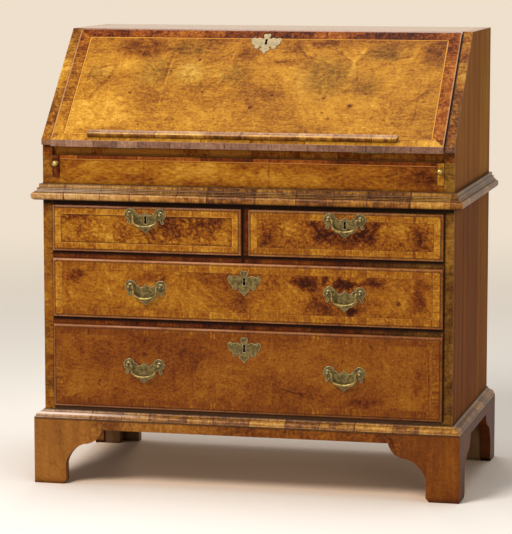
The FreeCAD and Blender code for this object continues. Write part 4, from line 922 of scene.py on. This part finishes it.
# Pieces of their own
def link(name, data):
    thing = bpy.data.objects.new(name, data)
    bpy.context.scene.collection.objects.link(thing)
    return thing


def piece(name, form, material, body):
    bmesh.ops.recalc_face_normals(form, faces=form.faces)
    mesh = bpy.data.meshes.new(name)
    form.to_mesh(mesh)
    form.free()
    mesh.materials.append(material)
    for face in mesh.polygons:
        face.use_smooth = True
    thing = link(name, mesh)
    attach(thing, body)
    return thing


def ring(form, centre, across, other, radius, sides):
    points = []
    for step in range(sides):
        turn = 2 * math.pi * step / sides
        points.append(form.verts.new(centre + (across * math.cos(turn) + other * math.sin(turn)) * radius))
    return points


def join_rings(form, rings):
    """Closes a row of rings to one skin, with a cap at each end."""
    sides = len(rings[0])
    for first, second in zip(rings, rings[1:]):
        for step in range(sides):
            after = (step + 1) % sides
            form.faces.new((first[step], first[after], second[after], second[step]))
    form.faces.new(list(reversed(rings[0])))
    form.faces.new(rings[-1])


def lathe(form, centre, profile, axis, sides=28):
    """A turned form round an axis through centre, from pairs of radius and height."""
    axis = Vector(axis).normalized()
    across = axis.cross(Vector((0.0, 0.0, 1.0))).normalized()
    other = axis.cross(across)
    rings = [ring(form, centre + axis * height, across, other, radius, sides) for radius, height in profile]
    join_rings(form, rings)


def bail_form(name, joint):
    """The hanging bail: pins, beads beside the posts, thin necks and a fuller belly."""
    centre = Vector(joint["pos_m"])
    low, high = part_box(name)
    drop = centre.z - low.z - 0.0021
    belly_start = drop * 0.52
    neck = post_half - 0.0080
    hip = post_half - 0.0095
    half = (high.x - low.x) / 2
    pin_radius = 0.0015
    thin = 0.0018
    bend_drop = 0.0041
    # Left half of the bail, from its pin to the middle of the belly: x, z and radius
    left = [(-half, 0.0, 0.0012), (-half + 0.0004, 0.0, pin_radius), (-post_half + 0.0048, 0.0, pin_radius)]
    for step in range(9):
        share = step / 8
        left.append((-post_half + 0.0051 + 0.0029 * share, 0.0, 0.0016 + 0.0016 * math.sin(math.pi * share)))
    for step in range(1, 7):
        turn = math.pi / 2 * step / 6
        left.append((-neck + (neck - hip) * math.sin(turn), -bend_drop * (1 - math.cos(turn)), thin))
    for step in range(1, 5):
        share = step / 4
        left.append((-hip, -bend_drop - share * (belly_start - bend_drop), thin + 0.0003 * share))
    for step in range(1, 17):
        turn = math.pi / 2 * step / 16
        pull = 0.00045 * math.exp(-((turn - math.pi / 2) / 0.16) ** 2)
        swell = 0.0021 + 0.0007 * math.sin(turn) ** 2 - pull
        left.append((-hip * math.cos(turn), -belly_start - (drop - belly_start) * math.sin(turn), swell))
    whole = left + [(-x, z, radius) for x, z, radius in reversed(left[:-1])]
    points = [centre + Vector((x, 0.0, z)) for x, z, radius in whole]
    flat = Vector((0.0, 1.0, 0.0))
    form = bmesh.new()
    rings = []
    for before, point, after, place in zip([points[0]] + points, points, points[1:] + [points[-1]], whole):
        way = (after - before).normalized()
        rings.append(ring(form, point, flat, way.cross(flat), place[2], 18))
    join_rings(form, rings)
    return form


bail_brass = brass_material("bail_brass", 1.15, 0.5, 0.0006)
posts = {}
for joint in frame["joints"]:
    if joint["name"].endswith("_swing"):
        node = [n for n, o in nodes.items() if o["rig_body"] == joint["child"]][0]
        cast = piece(node + "_cast", bail_form(node, joint), bail_brass, joint["child"])
        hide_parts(node)
        posts.setdefault(joint["parent"], []).append(Vector(joint["pos_m"]))

# A turned ring and a button on each post, and a pin head in each wing of an escutcheon
plate_face = front - 0.0082
button_seat = 0.0044
outward = (0.0, -1.0, 0.0)
ring_profile = (
    (0.0052, 0.0000), (0.0066, 0.0001), (0.0068, 0.0006), (0.0064, 0.0011), (0.0056, 0.0013),
    (0.0050, 0.0018), (0.0040, 0.0021), (0.0026, 0.0022),
)
button_profile = ((0.0024, 0.0), (0.0023, 0.0005), (0.0017, 0.0009), (0.0008, 0.00105))
pin_profile = ((0.0013, -0.0004), (0.0013, 0.0002), (0.0009, 0.0006), (0.0003, 0.0008))
nail_profile = ((0.0030, -0.0004), (0.0029, 0.0001), (0.0020, 0.0005), (0.0006, 0.0007))
for body, places in posts.items():
    form = bmesh.new()
    for place in places:
        for x in (place.x - post_half, place.x + post_half):
            lathe(form, Vector((x, plate_face, place.z)), ring_profile, outward)
            lathe(form, Vector((x, place.y - button_seat, place.z)), button_profile, outward, 20)
    piece(body + "_post_rings", form, drawer_brass, body)


def pin_heads(name, body, middle, tilt, material, wide=1.0, tall=1.0):
    """Three pins of an escutcheon that leans back by tilt, drawn wide and tall times the usual size."""
    form = bmesh.new()
    forward = Vector((0.0, -math.cos(tilt), math.sin(tilt)))
    upward = Vector((0.0, math.sin(tilt), math.cos(tilt)))
    for across, height in ((-0.0285, -0.003), (0.0285, -0.003), (0.0, -0.0345)):
        at = middle + Vector((across * wide, 0.0, 0.0)) + upward * height * tall
        lathe(form, at, pin_profile, forward, 14)
    piece(name, form, material, body)


for drawer, top in (("upper_drawer", 0.4757), ("lower_drawer", 0.3292)):
    pin_heads(drawer + "_pins", drawer, Vector((0.0, plate_face, top)), 0.0, drawer_brass)
# The wings of the fall's escutcheon: so far up the slope, and so far out of it
wings = 0.31046
outer = 0.0212
fall_wings = Vector((0.0, front, bed))
fall_wings += wings * Vector((0.0, math.sin(lean), math.cos(lean)))
fall_wings += outer * Vector((0.0, -math.cos(lean), math.sin(lean)))
pin_heads("fall_pins", "fall", fall_wings, lean, fall_brass, 67 / 72, 60 / 55)

# Nail heads along the back planks
form = bmesh.new()
back_low, back_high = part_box("back_boards")
planks = 6
pitch = (back_high.x - back_low.x) / planks
for number in range(planks):
    for share in (0.2, 0.8):
        for z in (back_low.z + 0.012, 0.36, 0.60, back_high.z - 0.012):
            at = Vector((back_low.x + (number + share) * pitch, back_high.y, z))
            lathe(form, at, nail_profile, (0.0, 1.0, 0.0), 10)
piece("back_nails", form, iron_material(), "case")


# Stage: pale floor that fades into the backdrop, soft lamps
backdrop = colour(238, 224, 204)


def seen(graph):
    """1 for what the camera sees straight, in a mirror or through glass."""
    share = make("ShaderNodeLightPath", {}, "Is Camera Ray", graph)
    for name in ("Is Glossy Ray", "Is Transmission Ray"):
        share = most(share, make("ShaderNodeLightPath", {}, name, graph))
    return share


def floor_material():
    x, y = start("floor_paint")[:2]
    open_air = closeness(x.graph, 0.5)
    # On the floor: a warm painted shade near the case, and a lighter painted patch deep below it
    painted_shade_and_light = mix(rise(open_air, 0.05, 0.35), colour(250, 214, 180), colour(206, 166, 130))
    paint_colour = mix(rise(open_air, 0.1, 0.8), painted_shade_and_light, colour(224, 216, 206))
    paint = make("ShaderNodeBsdfDiffuse", {"Color": paint_colour})
    far_paint = make("ShaderNodeEmission", {"Color": backdrop}, 0, x.graph)
    share = rise(calculate("SQRT", x * x + y * y), 0.7, 5.0) * seen(x.graph)
    shader = make("ShaderNodeMixShader", {0: share, 1: paint, 2: far_paint})
    return result(shader)


floor_form = bmesh.new()
bmesh.ops.create_grid(floor_form, x_segments=2, y_segments=2, size=60.0)
floor_mesh = bpy.data.meshes.new("floor")
floor_form.to_mesh(floor_mesh)
floor_form.free()
floor_mesh.materials.append(floor_material())
floor = link("floor", floor_mesh)

studio = Graph(bpy.data.worlds.new("studio"))
bpy.context.scene.world = studio.owner
soft = make("ShaderNodeBackground", {"Color": colour(255, 255, 255), "Strength": 0.34}, 0, studio)
wall = make("ShaderNodeBackground", {"Color": backdrop, "Strength": 1.0}, 0, studio)
result(make("ShaderNodeMixShader", {0: seen(studio), 1: soft, 2: wall}), "World")


def lamp(name, kind, power, place, aim, **settings):
    data = bpy.data.lights.new(name, kind)
    data.energy = power
    for key, setting in settings.items():
        setattr(data, key, setting)
    thing = link(name, data)
    thing.location = place
    thing.rotation_euler = (Vector(aim) - Vector(place)).to_track_quat("-Z", "Y").to_euler()
    thing.visible_camera = False


for name, power, place, aim, wide, high in (
    ("key", 235.0, (-1.7, -3.0, 3.8), (0.0, -0.1, 0.5), 1.8, 1.8),
    ("fill", 38.0, (2.6, -4.0, 1.5), (0.1, 0.0, 0.5), 2.6, 1.8),
    ("above", 60.0, (0.2, 0.4, 3.6), (0.0, 0.0, 0.9), 2.4, 1.8),
):
    lamp(name, "AREA", power, place, aim, shape="RECTANGLE", size=wide, size_y=high)
# A low soft beam from behind keeps the floor below the case warm
lamp("beam", "SPOT", 190.0, (-0.7, 3.0, 0.6), (0.0, 0.0, 0.1), color=(1.0, 0.90, 0.80),
    spot_size=math.radians(34.0), spot_blend=1.0, shadow_soft_size=0.35)

# Camera: where the picture was taken from, aimed a little down; the focal length is in the picture's pixels
focal = 2576.9
tall = 534
turn = 0.23435
aim_down = math.radians(7.43)
film = 36.0
camera_data = bpy.data.cameras.new("camera")
camera_data.sensor_width = film
camera_data.lens = focal / tall * film
camera = link("camera", camera_data)
camera.location = (1.3110, -5.6293, 1.2190)
camera.rotation_euler = (math.pi / 2 - aim_down, 0.0, turn)
bpy.context.scene.camera = camera
bpy.context.scene.view_settings.view_transform = "Standard"
